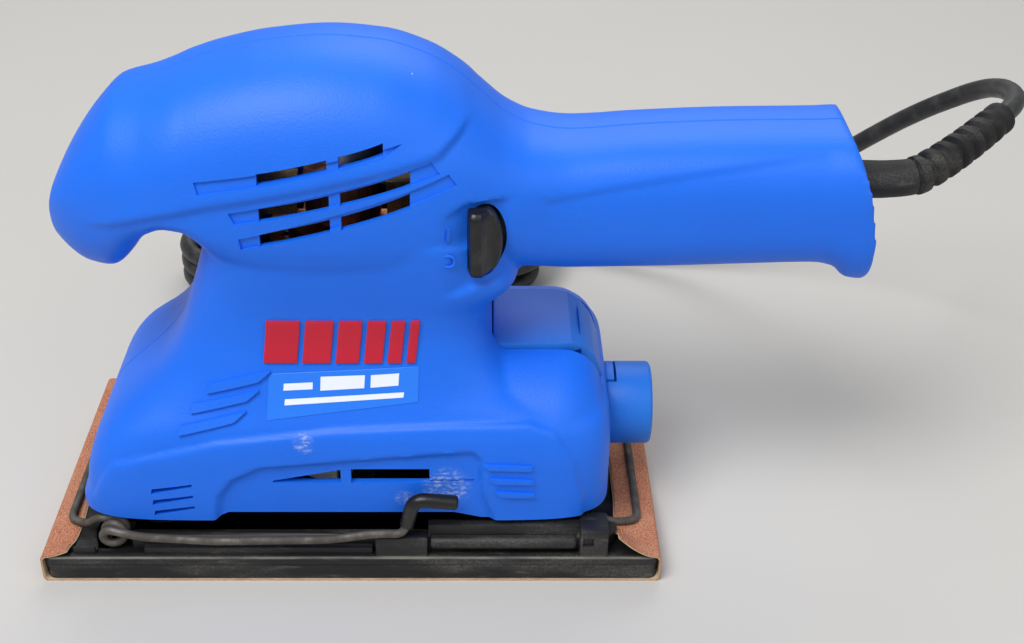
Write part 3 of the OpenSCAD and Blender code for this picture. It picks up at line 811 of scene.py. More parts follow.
@dataclass
class PowerCord:
    """The mains lead: its relief, its loop behind the handle, its hank, its tie and its plug."""

    radius: float = 3.15
    length: float = 2.0
    hank_x: float = -10.0
    hank_y: float = 134.0
    half_run: float = 50.0
    outer: float = 18.85
    inner: float = 12.55
    layers: tuple[float, float, float] = (3.75, 9.95, 16.15)
    free_turn: float = 25.2
    loop: tuple[Point, ...] = (
        (148, 0, 112), (156, 0, 112), (164, 1, 112.5), (171, 5, 114), (179, 11, 116),
        (187, 18, 118), (195, 26, 119.5), (202, 36, 119.5), (205.3, 48, 117.5), (205.3, 60, 114),
        (203, 70, 109), (197, 80, 101), (189, 90, 91), (180, 100, 79), (170, 109, 66),
        (159, 117, 52), (147, 124, 38), (134, 130, 25), (120, 136, 14), (105, 140, 7.5),
        (90, 144, 4.4), (76, 148, 3.75), (62, 150.6, 3.75), (50, 152.4, 3.75),
    )
    lead: tuple[Point, ...] = (
        (26, 161.6, 9), (12, 164, 5.2), (-2, 166, 3.8), (-14, 167.6, 4.6), (-22, 168.6, 6.4),
        (-28, 169, 8), (-33, 169, 8),
    )
    relief_end: int = 6
    plug_y: float = 169.0
    plug_z: float = 8.05

    def far_run(self, turn: int) -> tuple[float, float]:
        """Return the half-width and height of a turn's far run."""
        return ((self.outer, self.layers[0]), (self.inner, self.layers[0]),
                (self.inner, self.layers[1]), (self.outer, self.layers[1]),
                (self.outer, self.layers[2]))[turn]

    def winding(self) -> list[Point]:
        """Return the hank's centreline: five turns in three layers, and the way out.

        Returns:
            The points of one line, in millimetres.
        """
        # where each turn changes place in the right-hand bend: from, to, in degrees
        out_in, up = ((30, 90), None, (-60, 0), None), (None, (-30, 60), None, (-90, -50))
        made: list[Point] = []
        right, left = self.hank_x + self.half_run, self.hank_x - self.half_run
        for turn in range(5):
            r, z = self.far_run(turn)
            made += [(right - 20 * k, self.hank_y + r, z) for k in range(5)]
            for k in range(0, 13):
                a = math.radians(90 + 15 * k)
                made.append((left + r * math.cos(a), self.hank_y + r * math.sin(a), z))
            if turn == 4:
                break
            made += [(left + 20 * k, self.hank_y - r, z) for k in range(1, 5)]
            r_next, z_next = self.far_run(turn + 1)
            for k in range(0, 12):
                angle = -90 + 15 * k
                a = math.radians(angle)
                share_r = smoothstep(*out_in[turn], angle) if out_in[turn] else 0.0
                share_z = smoothstep(*up[turn], angle) if up[turn] else 0.0
                rr, zz = r + (r_next - r) * share_r, z + (z_next - z) * share_z
                made.append((right + rr * math.cos(a), self.hank_y + rr * math.sin(a), zz))
        r, z = self.far_run(4)
        for k in range(1, 6):
            x = left + 20 * k
            out = smoothstep(right - 55, right, x)
            made.append((x, self.hank_y - r - (self.free_turn - r) * out, z))
        for k in range(1, 13):
            a = math.radians(-90 + 15 * k)
            drop = (z - 13.4) * smoothstep(20, 90, -90 + 15 * k)
            made.append((right + self.free_turn * math.cos(a),
                         self.hank_y + self.free_turn * math.sin(a), z - drop))
        return made

    def build(self) -> None:
        """Make the lead as one curve, with the pieces on it."""
        points = [*self.loop, *self.winding(), *self.lead]
        curve = bpy.data.curves.new("mains_lead", "CURVE")
        curve.dimensions = "3D"
        curve.bevel_depth = self.radius * MM
        curve.bevel_resolution = 5
        curve.resolution_u = 6
        curve.use_fill_caps = True
        line = curve.splines.new("BEZIER")
        line.bezier_points.add(len(points) - 1)
        for knot, point in zip(line.bezier_points, points):
            knot.co = Vector(point) * MM
            knot.handle_left_type = knot.handle_right_type = "AUTO"
        curve.materials.append(Finish.SHEATH.material())
        lead = bpy.data.objects.new("mains_lead", curve)
        bpy.context.scene.collection.objects.link(lead)
        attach(lead, "housing")
        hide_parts("power_cord", "cord_hank", "plug_lead")
        relief, tie, plug, blades = self.relief(), self.tie(), self.plug(), self.blades()

    def relief(self) -> bpy.types.Object:
        """Make the tapered relief, with its smooth sleeve and its ribbed tail."""
        start = [(139.2, 0, 112), (148, 0, 112)]
        line = flowing([*start, *self.loop[1 : self.relief_end + 1]], 14)
        radii, run, last = [], 0.0, line[0]
        for point in line:
            run += (point - last).length
            last = point
            if run < 1.2:
                radii.append(7.2)
            elif run < 24:
                radii.append(5.6 - 0.012 * run)
            else:
                phase = ((run - 24) / 5.4) % 1
                rib = smoothstep(0.02, 0.16, phase) - smoothstep(0.6, 0.74, phase)
                radii.append(4.0 + (1.7 - 0.016 * (run - 24)) * rib)
        radii[-1] = 3.6
        bm = bmesh.new()
        add_tube(bm, line, radii, 28)
        return piece("strain_relief_boot", bm, Finish.RUBBER, "housing", ["strain_relief"],
                     sharp=50)

    def tie(self) -> bpy.types.Object:
        """Make the flat tie round the hank."""
        bm = bmesh.new()
        half, top = 22.6, 19.9
        corner = 4.0
        ring = []
        for cy, cz, start in ((half - corner, top - corner, 0), (corner - half, top - corner, 90),
                              (corner - half, corner + 0.3, 180), (half - corner, corner + 0.3, 270)):
            for k in range(7):
                a = math.radians(start + 15 * k)
                ring.append((cy + corner * math.cos(a), cz + corner * math.sin(a)))
        x0, x1 = self.hank_x - 3.8, self.hank_x + 3.8
        loops = []
        for x, grow in ((x0, 0.0), (x1, 0.0), (x1, -0.9), (x0, -0.9)):
            loops.append([(x, self.hank_y + y * (1 + grow / half), 0.3 + (z - 0.3) * (1 + grow / top)
                           - grow * 0.4) for y, z in ring])
        add_hoop(bm, loops)
        bevelled(bm, 0.25, 2, 60)
        return piece("hook_and_loop_tie", bm, Finish.RUBBER, "housing", ["cord_tie"])

    def plug(self) -> bpy.types.Object:
        """Make the moulded plug, narrowing to its lead, with grip steps."""
        rings = []
        sections = ((-60, 9.2, 7.7, 5), (-58.8, 9.5, 8.0, 5), (-53, 9.5, 8.0, 4.5),
                    (-48, 9.3, 7.8, 4), (-47.4, 8.7, 7.2, 4), (-45.6, 8.6, 7.1, 4),
                    (-45, 9.0, 7.5, 4), (-42.5, 8.5, 7.2, 3.6), (-42, 7.9, 6.6, 3.6),
                    (-40.2, 7.7, 6.4, 3.4), (-39.6, 7.9, 6.6, 3.2), (-36, 6.6, 5.7, 2.6),
                    (-32, 5.2, 4.8, 2.2), (-28.6, 4.4, 4.3, 2), (-28, 4.0, 4.0, 2))
        for x, half_y, half_z, power in sections:
            ring = []
            for k in range(36):
                a = math.radians(10 * k)
                c, s = math.cos(a), math.sin(a)
                y = math.copysign(half_y * abs(c) ** (2 / power), c)
                z = math.copysign(half_z * abs(s) ** (2 / power), s)
                ring.append((x, self.plug_y + y, self.plug_z + z))
            rings.append(ring)
        return piece("moulded_plug", loft(rings), Finish.RUBBER, "housing", ["plug_body"],
                     sharp=28)

    def blades(self) -> bpy.types.Object:
        """Make the plug's two flat blades."""
        bm = bmesh.new()
        for side in (-1, 1):
            y = self.plug_y + side * 6.35
            add_box(bm, (-76.9, y - 0.75, 4.8), (-59.0, y + 0.75, 11.2), 0.5, segments=3)
        return piece("plug_blade_pair", bm, Finish.BRASS, "housing", ["plug_blades"])


# --------------------------------------------------------------------------- housing


def ring_of(centre: Callable[[float, float], Point], wide: float, up: float, down: float,
            power: float, count: int) -> list[Point]:
    """Return a rounded-square ring.

    Args:
        centre: Turns a sideways and an upward offset into a point.
        wide: Half its width.
        up: Its height over the middle.
        down: Its depth under the middle.
        power: 2 for an ellipse, and more for squarer corners.
        count: Its points.
    """
    made = []
    for k in range(count):
        a = 2 * math.pi * k / count
        c, s = math.cos(a), math.sin(a)
        across = math.copysign(wide * abs(c) ** (2 / power), c)
        rise = math.copysign((up if s > 0 else down) * abs(s) ** (2 / power), s)
        made.append(centre(across, rise))
    return made


class Region:
    """An area of the side view, with a signed distance that is positive inside."""

    def __init__(self, outline: Sequence[tuple[float, float]]) -> None:
        """Keep a closed outline of (x, z) points."""
        self.a = np.array(outline, dtype=float)
        self.b = np.roll(self.a, -1, axis=0)

    def inside(self, x: np.ndarray, z: np.ndarray) -> np.ndarray:
        """Return each point's distance from the outline, positive inside it."""
        near = np.full(x.shape, 1e9)
        within = np.zeros(x.shape, dtype=bool)
        for (ax, az), (bx, bz) in zip(self.a, self.b):
            dx, dz = bx - ax, bz - az
            t = np.clip(((x - ax) * dx + (z - az) * dz) / (dx * dx + dz * dz + 1e-12), 0, 1)
            near = np.minimum(near, np.hypot(x - ax - t * dx, z - az - t * dz))
            if dz:
                crosses = ((az > z) != (bz > z)) & (x < dx * (z - az) / dz + ax)
                within ^= crosses
        return np.where(within, near, -near)


def line_distance(line: Sequence[tuple[float, float]], x: np.ndarray, z: np.ndarray) -> np.ndarray:
    """Return each point's distance from an open line of the side view."""
    near = np.full(x.shape, 1e9)
    for (ax, az), (bx, bz) in zip(line, line[1:]):
        dx, dz = bx - ax, bz - az
        t = np.clip(((x - ax) * dx + (z - az) * dz) / (dx * dx + dz * dz), 0, 1)
        near = np.minimum(near, np.hypot(x - ax - t * dx, z - az - t * dz))
    return near


def soft(value: np.ndarray, half: float) -> np.ndarray:
    """Rise smoothly from 0 to 1 as a value goes from -half to half."""
    t = np.clip((value + half) / (2 * half), 0, 1)
    return t * t * (3 - 2 * t)


class Skin:
    """The housing's outer surface, which later pieces are laid on."""

    def __init__(self, mesh: bpy.types.Mesh) -> None:
        """Take the surface of a mesh in millimetres."""
        verts = [v.co.copy() for v in mesh.vertices]
        self.tree = BVHTree.FromPolygons(verts, [p.vertices[:] for p in mesh.polygons])

    def side_y(self, x: float, z: float, side: int) -> float:
        """Return where a level line from one side meets the surface."""
        hit = self.tree.ray_cast(Vector((x, side * 70, z)), Vector((0, -side, 0)))[0]
        return hit.y if hit is not None else side * 30.0

    def drape(self, bm: bmesh.types.BMesh, corners: Sequence[tuple[float, float]], low: float,
              high: float, steps: tuple[int, int], side: int = -1, bow: float = 0.0) -> None:
        """Add a closed slab that follows the surface.

        Args:
            bm: The mesh to add it to.
            corners: Its start below, end below, end above and start above, as (x, z).
            low: Its inner face, from the surface outwards.
            high: Its outer face, from the surface outwards.
            steps: Its divisions along and across.
            side: -1 for the switch side and 1 for the other.
            bow: How far its middle hangs under a straight line.
        """
        a, b, c, d = corners
        made = bmesh.ops.create_grid(bm, x_segments=steps[0], y_segments=steps[1], size=0.5)
        verts = made["verts"]
        for v in verts:
            u, w = v.co.x + 0.5, v.co.y + 0.5
            x = (a[0] * (1 - u) + b[0] * u) * (1 - w) + (d[0] * (1 - u) + c[0] * u) * w
            z = (a[1] * (1 - u) + b[1] * u) * (1 - w) + (d[1] * (1 - u) + c[1] * u) * w
            z -= bow * 4 * u * (1 - u)
            v.co = (x, self.side_y(x, z, side) + side * low, z)
        faces = list({f for v in verts for f in v.link_faces})
        grown = bmesh.ops.extrude_face_region(bm, geom=faces, use_keep_orig=True)
        outer = [g for g in grown["geom"] if isinstance(g, bmesh.types.BMVert)]
        bmesh.ops.translate(bm, vec=(0, side * (high - low), 0), verts=outer)


@dataclass
class Housing:
    """The two moulded shells, lofted, joined, pressed and cut like one moulding."""

    wall: float = 2.5
    voxel: float = 1.05
    inner_voxel: float = 2.2
    end_radius: float = 88.0
    end_centre: tuple[float, float] = (61.8, 93.0)
    base: float = 20.0
    parting: float = 0.03
    seam: float = 0.4
    neck: Profile = field(default_factory=lambda: Profile((
        (14, -81.3, 78, 41.0), (19, -81.2, 78, 41.0), (30, -79.8, 78, 41.3), (40, -76.4, 78, 41.0),
        (47, -71.8, 77.5, 40.2), (51, -67.6, 76, 39), (54, -64.2, 66, 37.4), (58, -59.8, 52, 35.4),
        (63, -55, 46, 33.4), (70, -50.4, 42.5, 31.2), (76, -47.8, 41.5, 30), (82, -45.8, 42.5, 29.8),
        (86, -44.4, 46, 30.1), (90, -43, 50, 30.6), (98, -40.5, 48, 31.6), (106, -38, 45, 32.4),
    )))
    head: Profile = field(default_factory=lambda: Profile((
        (-84, 106, 102, 6), (-82.5, 112.5, 97, 13), (-79, 120.5, 93, 18), (-73, 130, 89.4, 22.5),
        (-67, 137.3, 88.8, 25.5), (-61.5, 142.4, 93.5, 28), (-57, 143.6, 100, 29.3),
        (-52, 144.8, 105.6, 30.4), (-48, 146, 107.4, 31.2), (-42, 148.6, 107, 32.2),
        (-34, 151.3, 96, 33),
        (-20, 154.4, 86, 33.8), (-3, 155.9, 84, 34), (12, 154.6, 84, 33.6), (24, 150.7, 86, 32.2),
        (33, 145.2, 88, 30), (40, 138.7, 89, 27.5), (46.5, 133, 89.5, 25.2),
        (54, 129.4, 89.8, 23.4), (64, 128, 89, 22), (85, 129.5, 89.2, 21.6),
        (112, 130.6, 90.2, 21.8), (134, 130.8, 91, 22), (140, 131, 89.6, 22.4),
        (144, 131, 85.8, 22.8), (148, 131, 85.2, 22.8), (150.2, 131, 86.4, 22.2),
    )))
    screws: tuple[Point, ...] = (
        (-66, 118, 10), (-33.5, 80, 12), (33.5, 80, 12), (-30, 138, 14), (66, 98, 8),
        (132, 97, 8), (-64, 40, 24), (59, 55, 14),
    )
    step_line: tuple[tuple[float, float], ...] = (
        (-90, 15), (-76, 26), (-71.7, 34.4), (-68.4, 38.9), (-53.9, 43.3), (-37.6, 47.3),
        (-4.2, 50.9), (30.2, 52.3), (53.1, 52.3), (60.3, 49.8), (66.4, 40), (69.2, 26.8),
        (69.4, 15),
    )
    panel: tuple[tuple[float, float], ...] = (
        (-39.3, 15), (-39.3, 21.1), (-38, 28.7), (-33.9, 34.4), (-25.3, 38.9), (1, 41.4),
        (36.5, 44.4), (38.8, 42), (39.5, 30), (44, 15),
    )
    scoop: tuple[tuple[float, float], ...] = (
        (26.4, 112.6), (31, 116.6), (36.2, 118.6), (48, 118.4), (48, 94), (42, 93.0), (37.5, 93.4),
        (31.5, 91.2), (26.6, 90.6),
    )
    head_crease: tuple[tuple[float, float], ...] = (
        (-67.7, 109.9), (-52.3, 114.6), (-35.1, 119.4), (-10.3, 124.2), (27.7, 132.4),
        (35.6, 138.5), (45, 143),
    )
    handle_crease: tuple[tuple[float, float], ...] = (
        (53.3, 118.5), (58.4, 116.2), (78.5, 119.7), (98.3, 123), (118.2, 125.9), (134, 128.1),
    )
    skin: "Skin | None" = None

    def head_ring(self, x: float, inset: float, count: int) -> list[Point]:
        """Return the head's or handle's section at x."""
        top, bottom, half = self.head.at(x)
        blend = smoothstep(38, 60, x)
        middle = max(bottom + 7, min(113 - 4 * blend, top - 4))
        power = 2.3 + 0.2 * smoothstep(-56, -44, x) + 0.5 * smoothstep(40, 62, x)
        cx, cz = self.end_centre

        def place(across: float, rise: float) -> Point:
            """Return a point of the section, held inside the handle's curved end."""
            z = middle + rise
            reach = (self.end_radius - inset) ** 2 - (z - cz) ** 2
            return min(x, cx + math.sqrt(max(reach, 0))), across, z

        return ring_of(place, max(1.5, half - inset), max(1.5, top - inset - middle),
                       max(1.5, middle - bottom - inset), power, count)

    def neck_ring(self, z: float, inset: float, count: int) -> list[Point]:
        """Return the skirt's or neck's section at z."""
        front, rear, half = self.neck.at(z)
        power = 8 - 3 * smoothstep(36, 60, z)
        return ring_of(lambda across, rise: ((front + rear) / 2 + rise, across, z),
                       half - inset, (rear - front) / 2 - inset, (rear - front) / 2 - inset,
                       power, count)

    def duct_ring(self, x: float, inset: float, count: int) -> list[Point]:
        """Return the raised dust duct's section at x, behind the neck."""
        top = np.interp(x, (60, 66, 70, 72.5, 74.3, 75.6), (66.0, 65.7, 63.9, 61.2, 57.4, 52)) - inset
        half = 38 - 8 * smoothstep(62, 78, x) - inset
        return ring_of(lambda across, rise: (x, across, 46 + rise),
                       half, max(2.0, top - 46), 6, 1.9, count)

    def solid(self, inset: float, step: float, voxel: float, smooth: int) -> bpy.types.Mesh:
        """Return the joined lofts of the whole housing.

        Args:
            inset: How far inside the outer surface it lies.
            step: The distance between sections.
            voxel: The size of the joined mesh's faces.
            smooth: How many times it is smoothed.
        """
        bm = bmesh.new()
        count = 72
        nose = [-84 + 0.45 * k for k in range(int(inset / 0.45), 9)]
        along = [*nose, *np.arange(-79.6, 138, step), *np.arange(138, 150.3, 0.3)]
        add_loft(bm, [self.head_ring(float(x), inset, count) for x in along])
        add_loft(bm, [self.neck_ring(float(z), inset, count) for z in np.arange(14, 106.1, step)])
        add_loft(bm, [self.duct_ring(float(x), inset, count)
                      for x in np.arange(20, 75.7 - inset, 1.2)])
        bmesh.ops.recalc_face_normals(bm, faces=bm.faces)
        whole = loose_object("lofts", bm)
        remesh = whole.modifiers.new("join", "REMESH")
        remesh.mode = "VOXEL"
        remesh.voxel_size = voxel
        if smooth:
            relax = whole.modifiers.new("relax", "SMOOTH")
            relax.factor = 0.5
            relax.iterations = smooth
        return applied(whole)

    def press(self, mesh: bpy.types.Mesh) -> None:
        """Press the moulding's soft steps and creases into its surface."""
        count = len(mesh.vertices)
        co, no = np.empty(count * 3), np.empty(count * 3)
        mesh.vertices.foreach_get("co", co)
        mesh.vertex_normals.foreach_get("vector", no)
        co, no = co.reshape(-1, 3), no.reshape(-1, 3)
        x, y, z = co.T
        facing = soft(np.abs(no[:, 1]) - 0.45, 0.25)
        band = Region(self.step_line).inside(x, z)
        move = 1.2 * soft(band, 0.95) * np.maximum(facing, soft(-no[:, 0] - 0.3, 0.2) * soft(36 - z, 2))
        move -= 1.6 * soft(Region(self.panel).inside(x, z), 0.95) * facing
        under = line_distance(self.head_crease, x, z)
        above = z - np.interp(x, *np.array(self.head_crease).T)
        ends = soft(x + 66, 8) * soft(42 - x, 8)
        move -= facing * ends * 0.9 * soft(-above, 1.4) * np.exp(-np.clip(-above, 0, None) / 16)
        move += facing * ends * 0.35 * np.exp(-((under - 1.5) / 2.5) ** 2) * (above > 0)
        above = z - np.interp(x, *np.array(self.handle_crease).T)
        ends = soft(x - 55, 4) * soft(138 - x, 6)
        move -= facing * ends * 0.7 * soft(-above, 1.2) * np.exp(-np.clip(-above, 0, None) / 14)
        # the hollow in front of the switch
        scoop = soft(Region(self.scoop).inside(x, z), 0.9) * soft(x - 31.5, 4.5) * soft(46 - x, 3) * (y < 0)
        move -= 1.6 * facing * scoop
        co += no * move[:, None]
        mesh.vertices.foreach_set("co", co.ravel())
        mesh.update()

    def cavity(self) -> bmesh.types.BMesh:
        """Return the hollow inside the shells, less the screws' columns."""
        mesh = self.solid(self.wall, 3.0, self.inner_voxel, 1)
        columns = bmesh.new()
        for x, z, _ in self.screws:
            bmesh.ops.create_cone(
                columns, cap_ends=True, segments=20, radius1=5.0, radius2=5.0, depth=130,
                matrix=Matrix.Translation((x, 0, z)) @ Matrix.Rotation(math.pi / 2, 4, "X"),
            )
        whole = bpy.data.objects.new("hollow", mesh)
        bpy.context.scene.collection.objects.link(whole)
        left = cut(whole, columns, solver="MANIFOLD")
        bm = bmesh.new()
        bm.from_mesh(left.data)
        bpy.data.objects.remove(left)
        return bm

    def cutters(self, side: int) -> bmesh.types.BMesh:
        """Return every opening of one shell."""
        bm = bmesh.new()
        arch = ((-95, -5), (95, -5), (95, self.base), (39, self.base), (31, self.base + 2.0),
                (-36, self.base + 2.0), (-40, self.base), (-95, self.base))
        face = bm.faces.new([bm.verts.new((x, -60, z)) for x, z in arch])
        grown = bmesh.ops.extrude_face_region(bm, geom=[face], use_keep_orig=True)
        bmesh.ops.translate(bm, vec=(0, 120, 0),
                            verts=[g for g in grown["geom"] if isinstance(g, bmesh.types.BMVert)])
        add_box(bm, (42.3, -16, 62.1), (68.9, 16, 71), 0)
        add_box(bm, (68.7, -16, 51), (90, 16, 71), 0)
        turn = Matrix.Rotation(math.pi / 2, 4, "Y")
        bmesh.ops.create_cone(bm, cap_ends=True, segments=64, radius1=13.1, radius2=13.1, depth=20,
                              matrix=Matrix.Translation((80, 0, 33)) @ turn)
        bmesh.ops.create_cone(bm, cap_ends=True, segments=48, radius1=5.7, radius2=5.7, depth=30,
                              matrix=Matrix.Translation((150, 0, 112)) @ turn)
        turn = Matrix.Rotation(math.pi / 2, 4, "X")
        if side > 0:
            for x, z, seat in self.screws:
                for radius, low in ((1.9, -5.0), (3.9, seat)):
                    place = Matrix.Translation((x, low + 30, z)) @ turn
                    bmesh.ops.create_cone(bm, cap_ends=True, segments=32, radius1=radius,
                                          radius2=radius, depth=60, matrix=place)
        if side < 0:
            self.switch_seat(bm)
        return bm

    def slots(self, side: int) -> tuple[bmesh.types.BMesh, bmesh.types.BMesh]:
        """Return the shallow bands, and the cooling slots, fan windows and louvres."""
        shallow, bm = bmesh.new(), bmesh.new()
        skin = self.skin
        for band, openings in (
            (((-36.0, 123.6), (13.6, 133.6), (18.6, 137.0), (-36.8, 127.0)),
             (((-20, 126.4), (-1.2, 130.5), (-1.2, 133.6), (-20, 129.8)),
              ((1.8, 131.1), (13.6, 134.2), (13.6, 137.5), (1.8, 134.4)))),
            (((-26.8, 114.9), (28.4, 128.0), (26.0, 131.4), (-28.4, 118.2)),
             (((-20.2, 115.9), (-1.2, 119.9), (-1.2, 123.3), (-20.2, 119.4)),
              ((1.8, 120.7), (20.5, 125.7), (20.5, 129.3), (1.8, 124.1)))),
            (((-25.8, 107.2), (32.9, 124.6), (30.6, 127.8), (-26.2, 110.6)),
             (((-20.5, 108.3), (-1.2, 112.9), (-1.2, 116.5), (-20.5, 112.0)),
              ((1.8, 113.7), (20.3, 119.5), (20.3, 123.4), (1.8, 117.3)))),
        ):
            skin.drape(shallow, band, -0.8, 2.5, (30, 1), side, 0.6)
            for opening in openings:
                skin.drape(bm, opening, -9.0, 2.5, (10, 1), side, 0.2)
        for opening in (
            ((-22, 33.2), (-2, 33.2), (-2, 37.9), (-22, 34.0)),
            ((1, 33.2), (24, 33.2), (24, 38.2), (1, 38.2)),
        ):
            skin.drape(bm, opening, -7.0, 2.5, (10, 1), side)
        skin.drape(shallow, ((23.6, 33.6), (37, 33.9), (37, 34.5), (23.6, 34.3)), -0.7, 2.5, (6, 1),
                   side)
        for k in range(3):
            low = 21.6 + 4.1 * k
            skin.drape(bm, ((-58, low), (-45.6, low + 2.9), (-45.6, low + 3.9), (-57.6, low + 1.9)),
                       -4.5, 2.5, (6, 1), side)
        return shallow, bm

    def switch_seat(self, bm: bmesh.types.BMesh) -> None:
        """Add the seat of the rocker, flat on its front edge and round behind."""
        outline = [(35.4, 98.8), (35.4, 114.4)]
        outline += [(39.8 + 6.5 * math.sin(math.radians(a)), 106.6 + 11.0 * math.cos(math.radians(a)))
                    for a in range(-24, 205, 12)]
        faces = [bm.verts.new((x, -60, z)) for x, z in outline]
        face = bm.faces.new(faces)
        grown = bmesh.ops.extrude_face_region(bm, geom=[face], use_keep_orig=True)
        deep = [g for g in grown["geom"] if isinstance(g, bmesh.types.BMVert)]
        bmesh.ops.translate(bm, vec=(0, 60 - 19.0, 0), verts=deep)

    def relief_bars(self, side: int) -> bmesh.types.BMesh:
        """Return the bars that stand proud of one shell."""
        bm = bmesh.new()
        skin = self.skin
        for x0, z0, x1, z1 in ((-48.3, 49.3, -29.6, 54.0), (-44.5, 55.0, -25.8, 59.6),
                               (-39.8, 60.4, -22.3, 64.9)):
            skin.drape(bm, ((x0, z0 + 0.2), (x1 - 2.4, z1 - 0.6), (x1 + 1.2, z1 + 2.3),
                            (x0 + 0.8, z0 + 2.7)), -1.2, 1.1, (8, 1), side)
        for k in range(3):
            z = 41.0 - 4.9 * k
            x = 39.6 + 1.9 * k
            end = 54 + 0.4 * k
            skin.drape(bm, ((x + 1.6, z - 1.6), (end, z - 2.0), (end, z - 0.7), (x, z + 0.2)),
                       -1.2, 0.95, (6, 1), side)
        return bm

    def half(self, side: int, whole: bpy.types.Mesh, hollow: bmesh.types.BMesh) -> None:
        """Make one shell from the whole moulding.

        Args:
            side: -1 for the switch side and 1 for the other.
            whole: The solid moulding.
            hollow: The inside to take away; it is copied.
        """
        bm = bmesh.new()
        bm.from_mesh(whole)
        rim: list[bmesh.types.BMEdge] = []
        for y, cleared in ((0.55, False), (self.parting, True)):
            made = bmesh.ops.bisect_plane(
                bm, geom=[*bm.verts, *bm.edges, *bm.faces], dist=1e-5,
                plane_co=(0, side * y, 0), plane_no=(0, -side, 0), clear_outer=cleared,
            )
            rim = [g for g in made["geom_cut"] if isinstance(g, bmesh.types.BMEdge)]
        for v in {v for e in rim for v in e.verts}:
            v.normal_update()
            sunk = Vector((v.normal.x, 0, v.normal.z)).normalized() * self.seam
            v.co -= sunk
        bmesh.ops.edgeloop_fill(bm, edges=rim)
        bmesh.ops.triangulate(bm, faces=[f for f in bm.faces if len(f.verts) > 4])
        bmesh.ops.recalc_face_normals(bm, faces=bm.faces)
        shell = loose_object("shell", bm)
        shell = cut(shell, hollow.copy(), solver="MANIFOLD")
        bars = self.relief_bars(side)
        bmesh.ops.recalc_face_normals(bars, faces=bars.faces)
        shell = cut(shell, bars, how="UNION")
        for cutters in (self.cutters(side), *self.slots(side)):
            bmesh.ops.recalc_face_normals(cutters, faces=cutters.faces)
            shell = cut(shell, cutters)
        mesh = shell.data
        mesh.transform(Matrix.Scale(MM, 4))
        bpy.data.objects.remove(shell)
        name = "left" if side < 0 else "right"
        dress(f"moulded_shell_{name}", mesh, Finish.HOUSING, "housing", [f"housing_{name}"],
              sharp=42)

    def build(self) -> None:
        """Make both shells."""
        whole = self.solid(0.0, 2.0, self.voxel * (1), 3)
        self.press(whole)
        self.skin = Skin(whole)
        LOG.info("moulding: %d faces", len(whole.polygons))
        hollow = self.cavity()
        for side in (-1, 1):
            self.half(side, whole, hollow)
        hollow.free()


# --------------------------------------------------------------------------- pad and clamps


def rounded_ring(half_x: float, half_y: float, radius: float, z: float,
                 steps: int = 7) -> list[Point]:
    """Return a level ring with straight sides and round corners."""
    made = []
    for sx, sy, start in ((1, 1, 0), (-1, 1, 90), (-1, -1, 180), (1, -1, 270)):
        for k in range(steps + 1):
            a = math.radians(start + 90 * k / steps)
            made.append((sx * (half_x - radius) + radius * math.cos(a),
                         sy * (half_y - radius) + radius * math.sin(a), z))
    return made


def add_hoop(bm: bmesh.types.BMesh, loops: Sequence[Sequence[Point]]) -> None:
    """Add a closed band whose cross-section runs through several loops and back to the first."""
    rings = []
    for loop in loops:
        circle = bmesh.ops.create_circle(bm, segments=len(loop), radius=1)
        for vert, point in zip(circle["verts"], loop):
            vert.co = point
        rings.append(list({e for v in circle["verts"] for e in v.link_edges}))
    for a, b in zip(rings, [*rings[1:], rings[0]]):
        bmesh.ops.bridge_loops(bm, edges=a + b)


